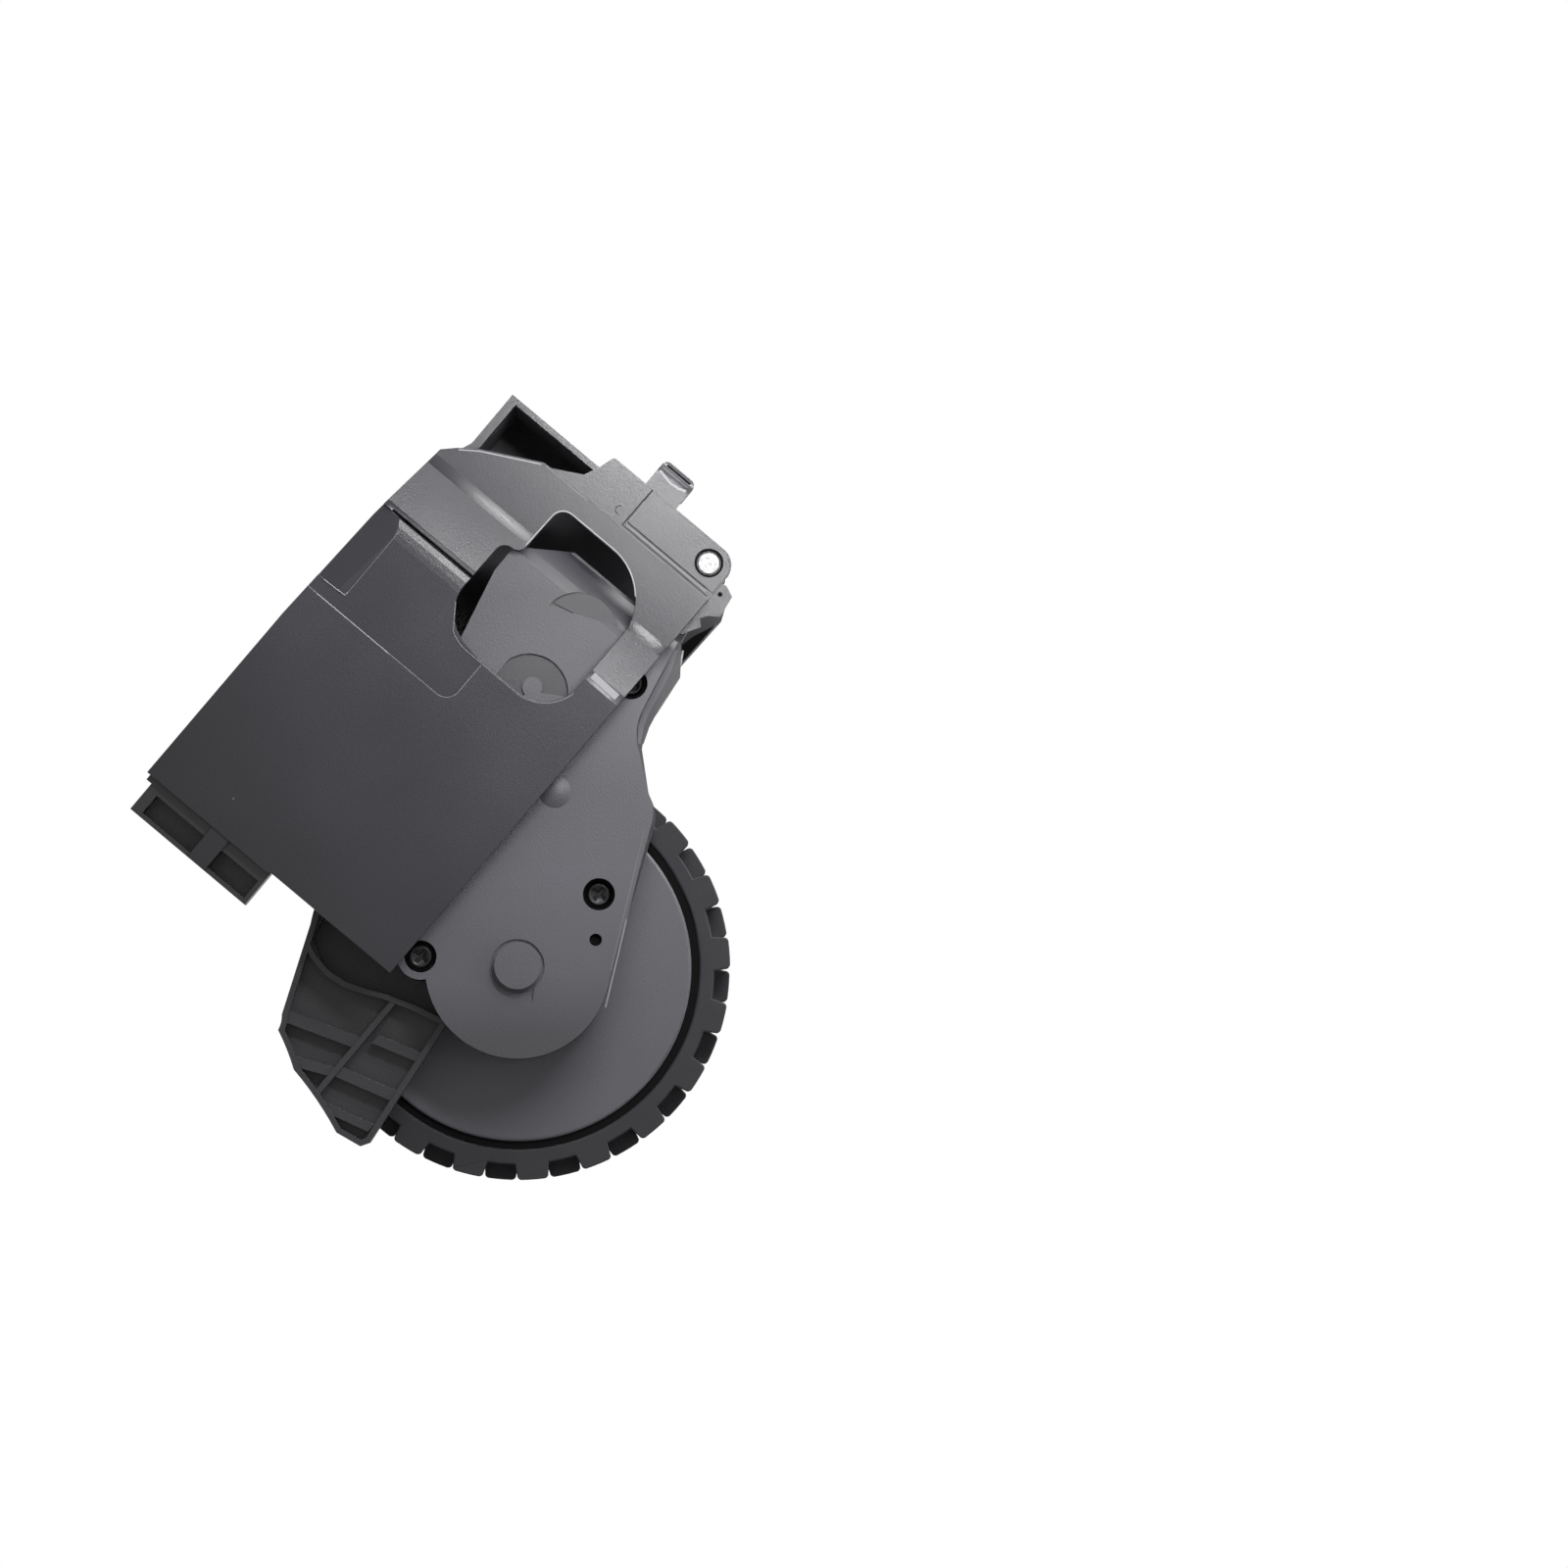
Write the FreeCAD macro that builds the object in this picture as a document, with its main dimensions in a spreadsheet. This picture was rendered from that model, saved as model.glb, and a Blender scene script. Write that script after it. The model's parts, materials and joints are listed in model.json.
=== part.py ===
import FreeCAD, Part
import math
import os
import Sketcher

# Robot vacuum wheel module: a fixed frame with its inner cover, and a swinging arm that
# holds the motor, a three-stage gearbox, a fender and the driven wheel.
# While a piece is drawn, X runs from the wheel axle towards the pivot, Y runs away from
# the cover's face towards the wheel, and Z is up. Millimetres.
# Each finished piece is then shifted so that the origin is the left screw hole.

os.makedirs("parts", exist_ok=True)

Vector = FreeCAD.Vector
doc = FreeCAD.newDocument("WheelModule")
sheet = doc.addObject("Spreadsheet::Sheet", "Sizes")


class Size:
    """A length that knows its number and the sheet expression that gives it."""

    def __init__(self, value, text):
        self.value = float(value)
        self.text = text

    def __add__(self, other):
        other = as_size(other)
        return Size(self.value + other.value, f"({self.text} + {other.text})")

    def __radd__(self, other):
        return as_size(other) + self

    def __sub__(self, other):
        other = as_size(other)
        return Size(self.value - other.value, f"({self.text} - {other.text})")

    def __rsub__(self, other):
        return as_size(other) - self

    def __mul__(self, other):
        other = as_size(other)
        return Size(self.value * other.value, f"({self.text} * {other.text})")

    def __rmul__(self, other):
        return as_size(other) * self

    def __truediv__(self, other):
        other = as_size(other)
        return Size(self.value / other.value, f"({self.text} / {other.text})")

    def __neg__(self):
        return Size(-self.value, f"(-1 * {self.text})")


def as_size(amount):
    """A plain number becomes a size with its own digits as the expression."""
    if isinstance(amount, Size):
        return amount
    return Size(amount, f"({float(amount):.6f})")


def sine(degrees):
    degrees = as_size(degrees)
    return Size(math.sin(math.radians(degrees.value)), f"sin({degrees.text})")


def cosine(degrees):
    degrees = as_size(degrees)
    return Size(math.cos(math.radians(degrees.value)), f"cos({degrees.text})")


def on_circle(centre, radius, degrees):
    """The point of a circle at an angle from +X towards +Z."""
    return (centre[0] + radius * cosine(degrees), centre[1] + radius * sine(degrees))


class Bag:
    """Holds the driving sizes by name."""


S = Bag()

DRIVING_SIZES = {
    # inner cover
    "cover_left": (-15.0, "left edge of the cover, from the axle"),
    "cover_jog": (0.4, "step in the left edge"),
    "cover_jog_z": (42.0, "height of that step"),
    "cover_bottom": (15.5, "bottom edge"),
    "cover_top": (68.2, "top edge at the left"),
    "cover_wall": (1.8, "thickness"),
    "cover_bend_one": (45.0, "where the face starts to fall back"),
    "cover_bend_two": (56.0, "where it is level again"),
    "cover_set_back": (2.6, "how far it falls back"),
    "cover_bend_half": (1.0, "half the width of each rounded bend"),
    "cover_right": (67.5, "right edge"),
    "tab_low": (50.3, "bottom of the locking tab"),
    "tab_high": (54.0, "top of the locking tab"),
    "step_left": (26.2, "left side of the shallow recess"),
    "step_low": (37.0, "bottom of the shallow recess"),
    "step_fade": (42.0, "where the recess runs out"),
    "step_deep": (0.35, "depth of the recess at its left side"),
    "bevel_left": (28.8, "left end of the top bevel"),
    "bevel_low": (62.0, "bottom of the top bevel"),
    "bevel_deep": (1.3, "depth of the top bevel"),
    "slit_wide": (0.4, "width of the slit at the first bend"),
    "slit_roll": (0.25, "fall of the face beside the slit"),
    # window in the cover
    "window_left": (35.1, "left side"),
    "window_right": (63.6, "right side"),
    "window_low": (22.2, "bottom"),
    "window_high": (47.7, "top"),
    "window_step": (43.8, "top of the part to the right"),
    # frame
    "depth_all": (44.4, "from the inner cover's face to the outer cover's outside"),
    "far_wall": (1.8, "thickness of the outer cover"),
    "plate_left": (29.0, "left edge of the outer cover"),
    "plate_post": (9.0, "length of the outer cover's screw posts"),
    "plate_head": (1.0, "height of its screws' heads"),
    "roof_wall": (1.7, "thickness of the roof"),
    "roof_drop": (0.6, "roof's top below the cover's top edge"),
    "side_right": (72.9, "outside of the right wall"),
    "side_wall": (1.0, "thickness of the right wall"),
    "box_top": (62.3, "top of the right box"),
    "block_left": (-21.5, "left side of the end block"),
    "block_right": (-13.8, "right side of the end block, behind the cover"),
    "block_low": (41.5, "bottom of the end block"),
    "block_high": (66.5, "top of the end block"),
    "block_back": (9.5, "how deep the end block goes"),
    "block_wall": (0.8, "its walls"),
    "seat_wall": (2.0, "wall that a fixing screw clamps"),
    "ear_wall": (2.8, "thickness of the near ear"),
    "ear_left": (66.8, "left edge of the near ear"),
    "ear_right": (75.8, "right edge of the ears"),
    "ear_low": (15.0, "bottom of the near ear"),
    "ear_high": (42.7, "top of the near ear"),
    "ear_round": (3.4, "rounded lower corner"),
    "hook_right": (81.3, "tip of the cable hook"),
    "hook_low": (29.0, "bottom of the cable hook"),
    "hook_high": (35.6, "top of the cable hook"),
    "hook_wall": (1.4, "its wall"),
    "hook_deep": (5.8, "its depth"),
    "hook_round": (2.4, "rounding of its tip"),
    "hook_corner": (1.2, "rounding of its corners"),
    "web_set": (0.5, "how far the web under the ear is set back"),
    "screw_left_x": (-18.7, "left fixing hole"),
    "screw_left_y": (5.1, "left fixing hole, from the cover's face"),
    "screw_right_x": (67.5, "right fixing hole"),
    "screw_right_y": (12.0, "right fixing hole, from the cover's face"),
    "fixing_hole": (1.5, "radius of both fixing holes"),
    # pivot
    "pivot_x": (72.4, "pivot from the axle"),
    "pivot_z": (18.9, "pivot above the axle"),
    "pin_radius": (2.0, "pivot pin"),
    "pin_gap": (0.05, "running clearance round the pin"),
    "boss_radius": (3.4, "boss round the pin"),
    "boss_tall": (1.6, "boss inside each ear"),
    "knuckle_radius": (3.4, "arm's barrel round the pin"),
    "spring_radius": (2.75, "radius of the spring's coil"),
    "spring_room": (15.6, "from the arm's barrel to the outer cover"),
    "side_gap": (0.35, "end clearance of the barrel"),
    "clip_thick": (0.8, "retaining ring"),
    "spring_wire": (0.55, "radius of the spring's wire"),
    "spring_turns": (4.75, "turns of the spring"),
    "spring_leg": (9.0, "length of the leg on the arm"),
    "spring_far_leg": (12.0, "length of the leg on the frame"),
    # gearbox
    "face_y": (4.8, "gearbox face below the cover's face"),
    "parting_y": (10.0, "where the two gearbox halves meet"),
    "base_y": (20.0, "far face of the gearbox"),
    "shell_wall": (1.5, "gearbox faces"),
    "moon_deep": (0.7, "depth of the two half-round recesses in the face"),
    "rim_thin": (1.2, "gearbox walls round the gears"),
    "ledge": (0.6, "how far the far half stands out below the near half"),
    "head_radius": (15.5, "round end about the axle"),
    "boss_out": (2.0, "height of the axle boss"),
    "axle_boss": (3.9, "radius of the axle boss"),
    "boss_groove": (0.6, "width of the groove round it"),
    "groove_deep": (0.45, "depth of that groove"),
    "ear_x": (-9.2, "screw ear"),
    "ear_z": (13.5, "screw ear"),
    "ear_out": (3.9, "radius of the screw ear"),
    "post_radius": (2.2, "screw post"),
    "thread_radius": (1.1, "screw shank"),
    "head_hole": (2.7, "counterbore"),
    "head_deep": (2.6, "depth of a counterbore"),
    "ear_deep": (1.5, "depth of the counterbore in the ear, over the output gear"),
    "screw_head": (2.2, "radius of a screw's head"),
    "screw_tall": (1.3, "height of a screw's head"),
    # gears
    "gear_wide": (3.2, "face width of every gear"),
    "layer_near": (7.0, "near side of the first gear layer"),
    "layer_step": (3.8, "distance from one gear layer to the next"),
    "pin_axle": (1.5, "gear axle"),
    "gear_gap": (0.05, "running clearance round a gear axle"),
    "gear_two_x": (13.0, "second gear's axle"),
    "gear_two_z": (14.13, "second gear's axle"),
    "gear_one_x": (30.26, "first gear's axle"),
    "gear_one_z": (21.07, "first gear's axle"),
    "motor_x": (45.0, "motor's axle"),
    "motor_z": (31.4, "motor's axle"),
    "backlash": (0.12, "tooth thinning"),
    # motor
    "motor_radius": (12.0, "motor can"),
    "cap_tall": (1.8, "end cap"),
    "board_gap": (3.4, "from the end cap to the board"),
    "board_clear": (1.4, "from the board to the outer cover"),
    "shaft_radius": (1.0, "motor shaft"),
    "board_thick": (1.0, "encoder board"),
    # wheel
    "hub_near": (21.0, "near face of the hub"),
    "hub_disc": (1.6, "thickness of the disc"),
    "hub_radius": (29.3, "radius of the disc"),
    "rim_radius": (28.3, "seat of the tyre"),
    "rim_wall": (1.6, "thickness of the rim"),
    "wheel_far": (39.0, "far face of the wheel"),
    "barrel_radius": (6.0, "hub's barrel"),
    "barrel_far": (34.6, "far end of the barrel"),
    "axle_radius": (3.0, "output shaft in the hub"),
    "journal": (2.0, "output shaft's near journal"),
    "gear_seat": (2.6, "output shaft in its gear"),
    "bush_radius": (3.2, "near bush"),
    "bearing_radius": (5.5, "far bearing"),
    "bearing_wide": (3.4, "width of the far bearing"),
    "tyre_near": (21.6, "near side of the tyre"),
    "tyre_far": (38.6, "far side of the tyre"),
    "tyre_lip": (30.6, "where the flat side wall starts"),
    "tyre_body": (33.1, "radius under the lugs"),
    "tyre_radius": (36.0, "radius over the lugs"),
    "lug_wide": (5.2, "length of a lug along the tread"),
    "lug_gap": (0.5, "groove between the two rows"),
    # fender
    "fender_out": (41.0, "reach of the fender's outer edge"),
    "fender_wall": (1.0, "thickness of the fender's rim"),
    "fender_near": (11.2, "near edge of its ribs"),
    "fender_floor": (14.6, "near face of its floor"),
    "fender_plate": (1.5, "thickness of its floor"),
    "fender_far": (29.0, "far edge of its guard"),
    "guard_inset": (0.6, "guard's outside within the rim's outside"),
    "fender_rib": (1.0, "level rib"),
    "fender_rib_z": (12.2, "height of the level rib"),
}

LUGS_IN_A_ROW = 20
FIRST_LUG = 8.1
SPOKES = 6
PINION_TEETH = 12
FIRST_BIG_TEETH = 60
FIRST_SMALL_TEETH = 14
SECOND_BIG_TEETH = 48
SECOND_SMALL_TEETH = 16
OUTPUT_TEETH = 32
FINE_MODULE = 0.5
MIDDLE_MODULE = 0.6
COARSE_MODULE = 0.8
PRESSURE_ANGLE = 25.0

for row, (name, (number, note)) in enumerate(DRIVING_SIZES.items(), start=1):
    sheet.set(f"A{row}", name)
    sheet.set(f"B{row}", f"{number:.4f}")
    sheet.setAlias(f"B{row}", name)
    sheet.set(f"C{row}", note)
    setattr(S, name, Size(number, f"Sizes.{name}"))
doc.recompute()

nodes = []


def link(thing, path, amount):
    """Drive one property of an object by a size."""
    thing.setExpression(path, as_size(amount).text)


def place(thing, x, y, z):
    """Put an object's own origin at a point."""
    link(thing, "Placement.Base.x", x)
    link(thing, "Placement.Base.y", y)
    link(thing, "Placement.Base.z", z)


def keep(thing, node):
    """Name a finished piece and shift it to the module's own origin."""
    thing.Label = node
    shift = Vector(-S.screw_left_x.value, -S.screw_left_y.value, -S.block_high.value)
    thing.Placement = FreeCAD.Placement(shift, FreeCAD.Rotation())
    link(thing, "Placement.Base.x", -S.screw_left_x)
    link(thing, "Placement.Base.y", -S.screw_left_y)
    link(thing, "Placement.Base.z", -S.block_high)
    nodes.append(thing)


def arc_between(start, end, radius, side):
    """The short arc from start to end that bulges to the left (1) or right (-1)."""
    chord = end - start
    half = chord.Length / 2
    rise = radius - math.sqrt(max(radius * radius - half * half, 0.0))
    normal = Vector(-chord.y, chord.x, 0) / chord.Length
    middle = (start + end) / 2 + normal * rise * side
    if side > 0:
        return Part.Arc(end, middle, start)
    return Part.Arc(start, middle, end)


def add_outline(sketch, outline):
    """Draw a closed outline in a sketch, every corner and radius tied to its size.

    A corner is (a, b). With (a, b, radius, side) the edge that arrives there is an arc.
    """
    corners = [(as_size(c[0]), as_size(c[1])) for c in outline]
    points = [Vector(a.value, b.value, 0) for a, b in corners]
    count = len(outline)
    first_end, last_end, rules = [], [], []
    for i in range(count):
        arrival = outline[(i + 1) % count]
        start, end = points[i], points[(i + 1) % count]
        if len(arrival) == 2:
            sketch.addGeometry(Part.LineSegment(start, end), False)
        else:
            arc = arc_between(start, end, as_size(arrival[2]).value, arrival[3])
            sketch.addGeometry(arc, False)
        forward = (sketch.Geometry[i].StartPoint - start).Length < 1e-6
        first_end.append(1 if forward else 2)
        last_end.append(2 if forward else 1)
    for i in range(count):
        after = (i + 1) % count
        rules.append(Sketcher.Constraint("Coincident", i, last_end[i], after, first_end[after]))
    sketch.addConstraint(rules)
    for i, (a, b) in enumerate(corners):
        for kind, amount in (("DistanceX", a), ("DistanceY", b)):
            rule = Sketcher.Constraint(kind, -1, 1, i, first_end[i], amount.value)
            link(sketch, f"Constraints[{sketch.addConstraint(rule)}]", amount)
        arrival = outline[(i + 1) % count]
        if len(arrival) == 4:
            radius = as_size(arrival[2])
            rule = Sketcher.Constraint("Radius", i, radius.value)
            link(sketch, f"Constraints[{sketch.addConstraint(rule)}]", radius)


PLANES = {
    "front": (FreeCAD.Rotation(Vector(1, 0, 0), 90), Vector(0, 1, 0)),
    "plan": (FreeCAD.Rotation(), Vector(0, 0, 1)),
    "side": (FreeCAD.Rotation(Vector(1, 1, 1), 120), Vector(1, 0, 0)),
}


def draw(name, outline, plane="front", level=0.0):
    """A sketch in the front (X, Z), plan (X, Y) or side (Y, Z) plane."""
    sketch = doc.addObject("Sketcher::SketchObject", name + "Sketch")
    add_outline(sketch, outline)
    turn, normal = PLANES[plane]
    sketch.Placement = FreeCAD.Placement(normal * as_size(level).value, turn)
    axis = {"front": "y", "plan": "z", "side": "x"}[plane]
    link(sketch, f"Placement.Base.{axis}", level)
    return sketch


def extrude(name, sketch, length, plane="front"):
    """A solid from a closed sketch, along the plane's own positive axis."""
    solid = doc.addObject("Part::Extrusion", name)
    solid.Base = sketch
    solid.DirMode = "Custom"
    solid.Dir = PLANES[plane][1]
    solid.Solid = True
    link(solid, "LengthFwd", length)
    return solid


def prism(name, outline, start, end, plane="front"):
    """A solid with one outline, from one level to another."""
    return extrude(name, draw(name, outline, plane, start), as_size(end) - start, plane)


def inset(name, outline, wall, start, end):
    """A solid with a front outline drawn in by the wall's thickness."""
    smaller = doc.addObject("Part::Offset2D", name + "Inset")
    smaller.Source = draw(name, outline, "front", start)
    smaller.Join = "Arc"
    link(smaller, "Value", -as_size(wall))
    return extrude(name, smaller, as_size(end) - start)


def block(name, x, y, z):
    """A box given by its two ends along each axis."""
    solid = doc.addObject("Part::Box", name)
    link(solid, "Length", as_size(x[1]) - x[0])
    link(solid, "Width", as_size(y[1]) - y[0])
    link(solid, "Height", as_size(z[1]) - z[0])
    place(solid, x[0], y[0], z[0])
    return solid


def rod(name, centre, radius, start, end):
    """A round bar along Y."""
    solid = doc.addObject("Part::Cylinder", name)
    solid.Placement.Rotation = FreeCAD.Rotation(Vector(1, 0, 0), -90)
    link(solid, "Radius", radius)
    link(solid, "Height", as_size(end) - start)
    place(solid, centre[0], start, centre[1])
    return solid


def post(name, x, y, radius, start, end):
    """A round bar along Z."""
    solid = doc.addObject("Part::Cylinder", name)
    link(solid, "Radius", radius)
    link(solid, "Height", as_size(end) - start)
    place(solid, x, y, start)
    return solid


def turned(name, centre, outline):
    """A solid of revolution about a line along Y, from (radius, y) corners."""
    sketch = doc.addObject("Sketcher::SketchObject", name + "Sketch")
    add_outline(sketch, outline)
    place(sketch, centre[0], 0, centre[1])
    solid = doc.addObject("Part::Revolution", name)
    solid.Source = sketch
    solid.Axis = Vector(0, 1, 0)
    solid.Angle = 360
    solid.Solid = True
    link(solid, "Base.x", centre[0])
    link(solid, "Base.z", centre[1])
    return solid


def fuse(name, *solids):
    """One solid from several that touch."""
    whole = doc.addObject("Part::MultiFuse", name)
    whole.Shapes = list(solids)
    whole.Refine = True
    return whole


def cut(name, base, *tools):
    """A solid with one or more tools taken away."""
    whole = doc.addObject("Part::Cut", name)
    whole.Base = base
    whole.Tool = tools[0] if len(tools) == 1 else fuse(name + "Tools", *tools)
    whole.Refine = True
    return whole


def common(name, one, other):
    """What two solids share."""
    whole = doc.addObject("Part::Common", name)
    whole.Base = one
    whole.Tool = other
    whole.Refine = True
    return whole


def gather(name, solids):
    """Separate like solids in one node."""
    whole = doc.addObject("Part::Compound", name)
    whole.Links = list(solids)
    return whole


AXLE = (Size(0, "0"), Size(0, "0"))
PIVOT = (S.pivot_x, S.pivot_z)
GEAR_ONE = (S.gear_one_x, S.gear_one_z)
GEAR_TWO = (S.gear_two_x, S.gear_two_z)
MOTOR = (S.motor_x, S.motor_z)
EAR_SCREW = (S.ear_x, S.ear_z)
COVER_BACK = S.cover_set_back + S.cover_wall
FAR_WALL_NEAR = S.depth_all - S.far_wall
INSIDE_NEAR = S.face_y + S.shell_wall
INSIDE_FAR = S.base_y - S.shell_wall
LAYER_ONE = S.layer_near
LAYER_TWO = S.layer_near + S.layer_step
LAYER_THREE = S.layer_near + 2 * S.layer_step
KNUCKLE_END = FAR_WALL_NEAR - S.spring_room
BOARD_NEAR = FAR_WALL_NEAR - S.board_clear - S.board_thick
MOTOR_LONG = BOARD_NEAR - S.board_gap - S.cap_tall - S.base_y
PLATE_SCREWS = [
    (S.cover_bend_one - 6.5, S.cover_top - 5.0),
    (S.cover_bend_two - 2.0, S.box_top - 0.5),
    (S.side_right - 2.6, S.ear_high - 6.2),
]


def cover_section(front, back):
    """The cover's bent section in plan, between two depths measured from its face."""
    slope = math.degrees(math.atan2(S.cover_set_back.value,
                                    S.cover_bend_two.value - S.cover_bend_one.value))
    run = S.cover_bend_half * math.cos(math.radians(slope))
    fall = S.cover_bend_half * math.sin(math.radians(slope))
    bend = S.cover_bend_half / math.tan(math.radians(slope / 2))
    left = S.block_left - 5
    right = S.ear_right + 5
    set_back = S.cover_set_back
    return [
        (left, front),
        (S.cover_bend_one - S.cover_bend_half, as_size(front)),
        (S.cover_bend_one + run, front + fall, bend, 1),
        (S.cover_bend_two - run, front + set_back - fall),
        (S.cover_bend_two + S.cover_bend_half, front + set_back, bend, -1),
        (right, front + set_back),
        (right, back + set_back),
        (S.cover_bend_two, back + set_back),
        (S.cover_bend_one, as_size(back)),
        (left, back),
    ]


def window_outline():
    """The window in the cover, with a larger round at each lower corner."""
    left, right = S.window_left, S.window_right
    low, high, step = S.window_low, S.window_high, S.window_step
    corner = 7.4
    return [
        (left + 6.9, low, corner, -1),
        (right - 9.1, low),
        (right, low + 10.8, 10.2, -1),
        (right, step - 2.2),
        (right - 2.2, step, 2.2, -1),
        (right - 8.9, step + 0.2),
        (right - 10.6, step + 1.9, 1.8, 1),
        (right - 12.2, high - 0.1, 1.9, -1),
        (left + 7.4, high),
        (left + 0.6, high - 6.4, corner, -1),
        (left, high - 10),
        (left, low + 7.2),
    ]


def make_inner_cover():
    sheet_metal = prism("CoverSheet", cover_section(as_size(0), S.cover_wall),
                        S.cover_bottom - 5, S.cover_top + 5, "plan")
    corner_x = S.cover_right - 5.3
    outline = [
        (S.cover_left + S.cover_jog, S.cover_bottom),
        (S.cover_right, S.cover_bottom - 0.5),
        (S.cover_right, S.cover_top - 17.4),
        (corner_x, S.cover_top - 7.5),
        (S.cover_right - 7.5, S.cover_top - 4.6),
        (S.cover_right - 9.5, S.cover_top - 2.6),
        (S.cover_bend_one - 2.6, S.cover_top - 1.1),
        (S.cover_left + 35, S.cover_top - 0.2),
        (S.cover_left, S.cover_top),
        (S.cover_left, S.cover_jog_z),
        (S.cover_left + S.cover_jog, S.cover_jog_z - S.cover_jog),
    ]
    trimmed = common("CoverTrimmed", sheet_metal, prism("CoverOutline", outline, -2, 12))
    window = prism("Window", window_outline(), -2, 12)
    recess_face = [
        (S.step_left, S.cover_top + 2),
        (S.step_left, S.step_low + 2.6),
        (S.step_left + 2.6, S.step_low, 2.6, -1),
        (S.step_fade, S.step_low),
        (S.step_fade, S.cover_top + 2),
    ]
    recess_plan = [
        (S.step_left, as_size(-1)),
        (S.step_fade, as_size(-1)),
        (S.step_fade, as_size(0)),
        (S.step_left, S.step_deep),
    ]
    recess = common(
        "Recess",
        prism("RecessFace", recess_face, -1, 2),
        prism("RecessPlan", recess_plan, S.step_low - 1, S.cover_top + 2, "plan"),
    )
    bevel = prism(
        "Bevel",
        [(as_size(-1), S.bevel_low), (as_size(0), S.bevel_low),
         (S.bevel_deep, S.cover_top), (as_size(-1), S.cover_top)],
        S.bevel_left, S.cover_bend_one - 0.2, "side",
    )
    half_slit = S.slit_wide / 2
    middle = S.cover_bend_one
    slit = prism(
        "Slit",
        [(middle - 4.2, as_size(-1)), (middle + half_slit, as_size(-1)),
         (middle + half_slit, S.cover_wall + 2), (middle - half_slit, S.cover_wall + 2),
         (middle - half_slit, S.slit_roll * 2), (middle - 0.4, S.slit_roll),
         (middle - 1.5, S.slit_roll * 0.4), (middle - 2.6, S.slit_roll * 0.14),
         (middle - 4.2, as_size(0))],
        S.window_high - 1, S.cover_top - 3.2, "plan",
    )
    tab = block("Tab", (S.block_left, S.cover_left + 1), (0.4, S.cover_wall), (S.tab_low, S.tab_high))
    plate = cut("CoverCut", trimmed, window, recess, bevel, slit)
    keep(fuse("InnerCover", plate, tab), "inner_cover")


def roof_outline():
    """The roof, its step down on the right and the right wall, as one bent strip."""
    top = S.cover_top - S.roof_drop
    wall, right, box = S.roof_wall, S.side_right, S.box_top
    return [
        (S.cover_left - 1.0, top),
        (S.cover_left + 35, top - 0.1),
        (S.cover_bend_one - 3, top - 1.0),
        (right - 14.9, top - 2.6),
        (right - 12.9, top - 4.4),
        (right - 10.6, box),
        (right, box),
        (right, S.ear_high - 14.7),
        (right - S.side_wall, S.ear_high - 14.7),
        (right - S.side_wall, box - 1.5),
        (right - 10.2, box - 1.5),
        (right - 13.7, box - 0.4),
        (right - 15.6, top - 2.6 - wall),
        (S.cover_bend_one - 3, top - 1.0 - wall),
        (S.cover_left + 35, top - 0.1 - wall),
        (S.cover_left - 1.0, top - wall),
    ]


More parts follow.
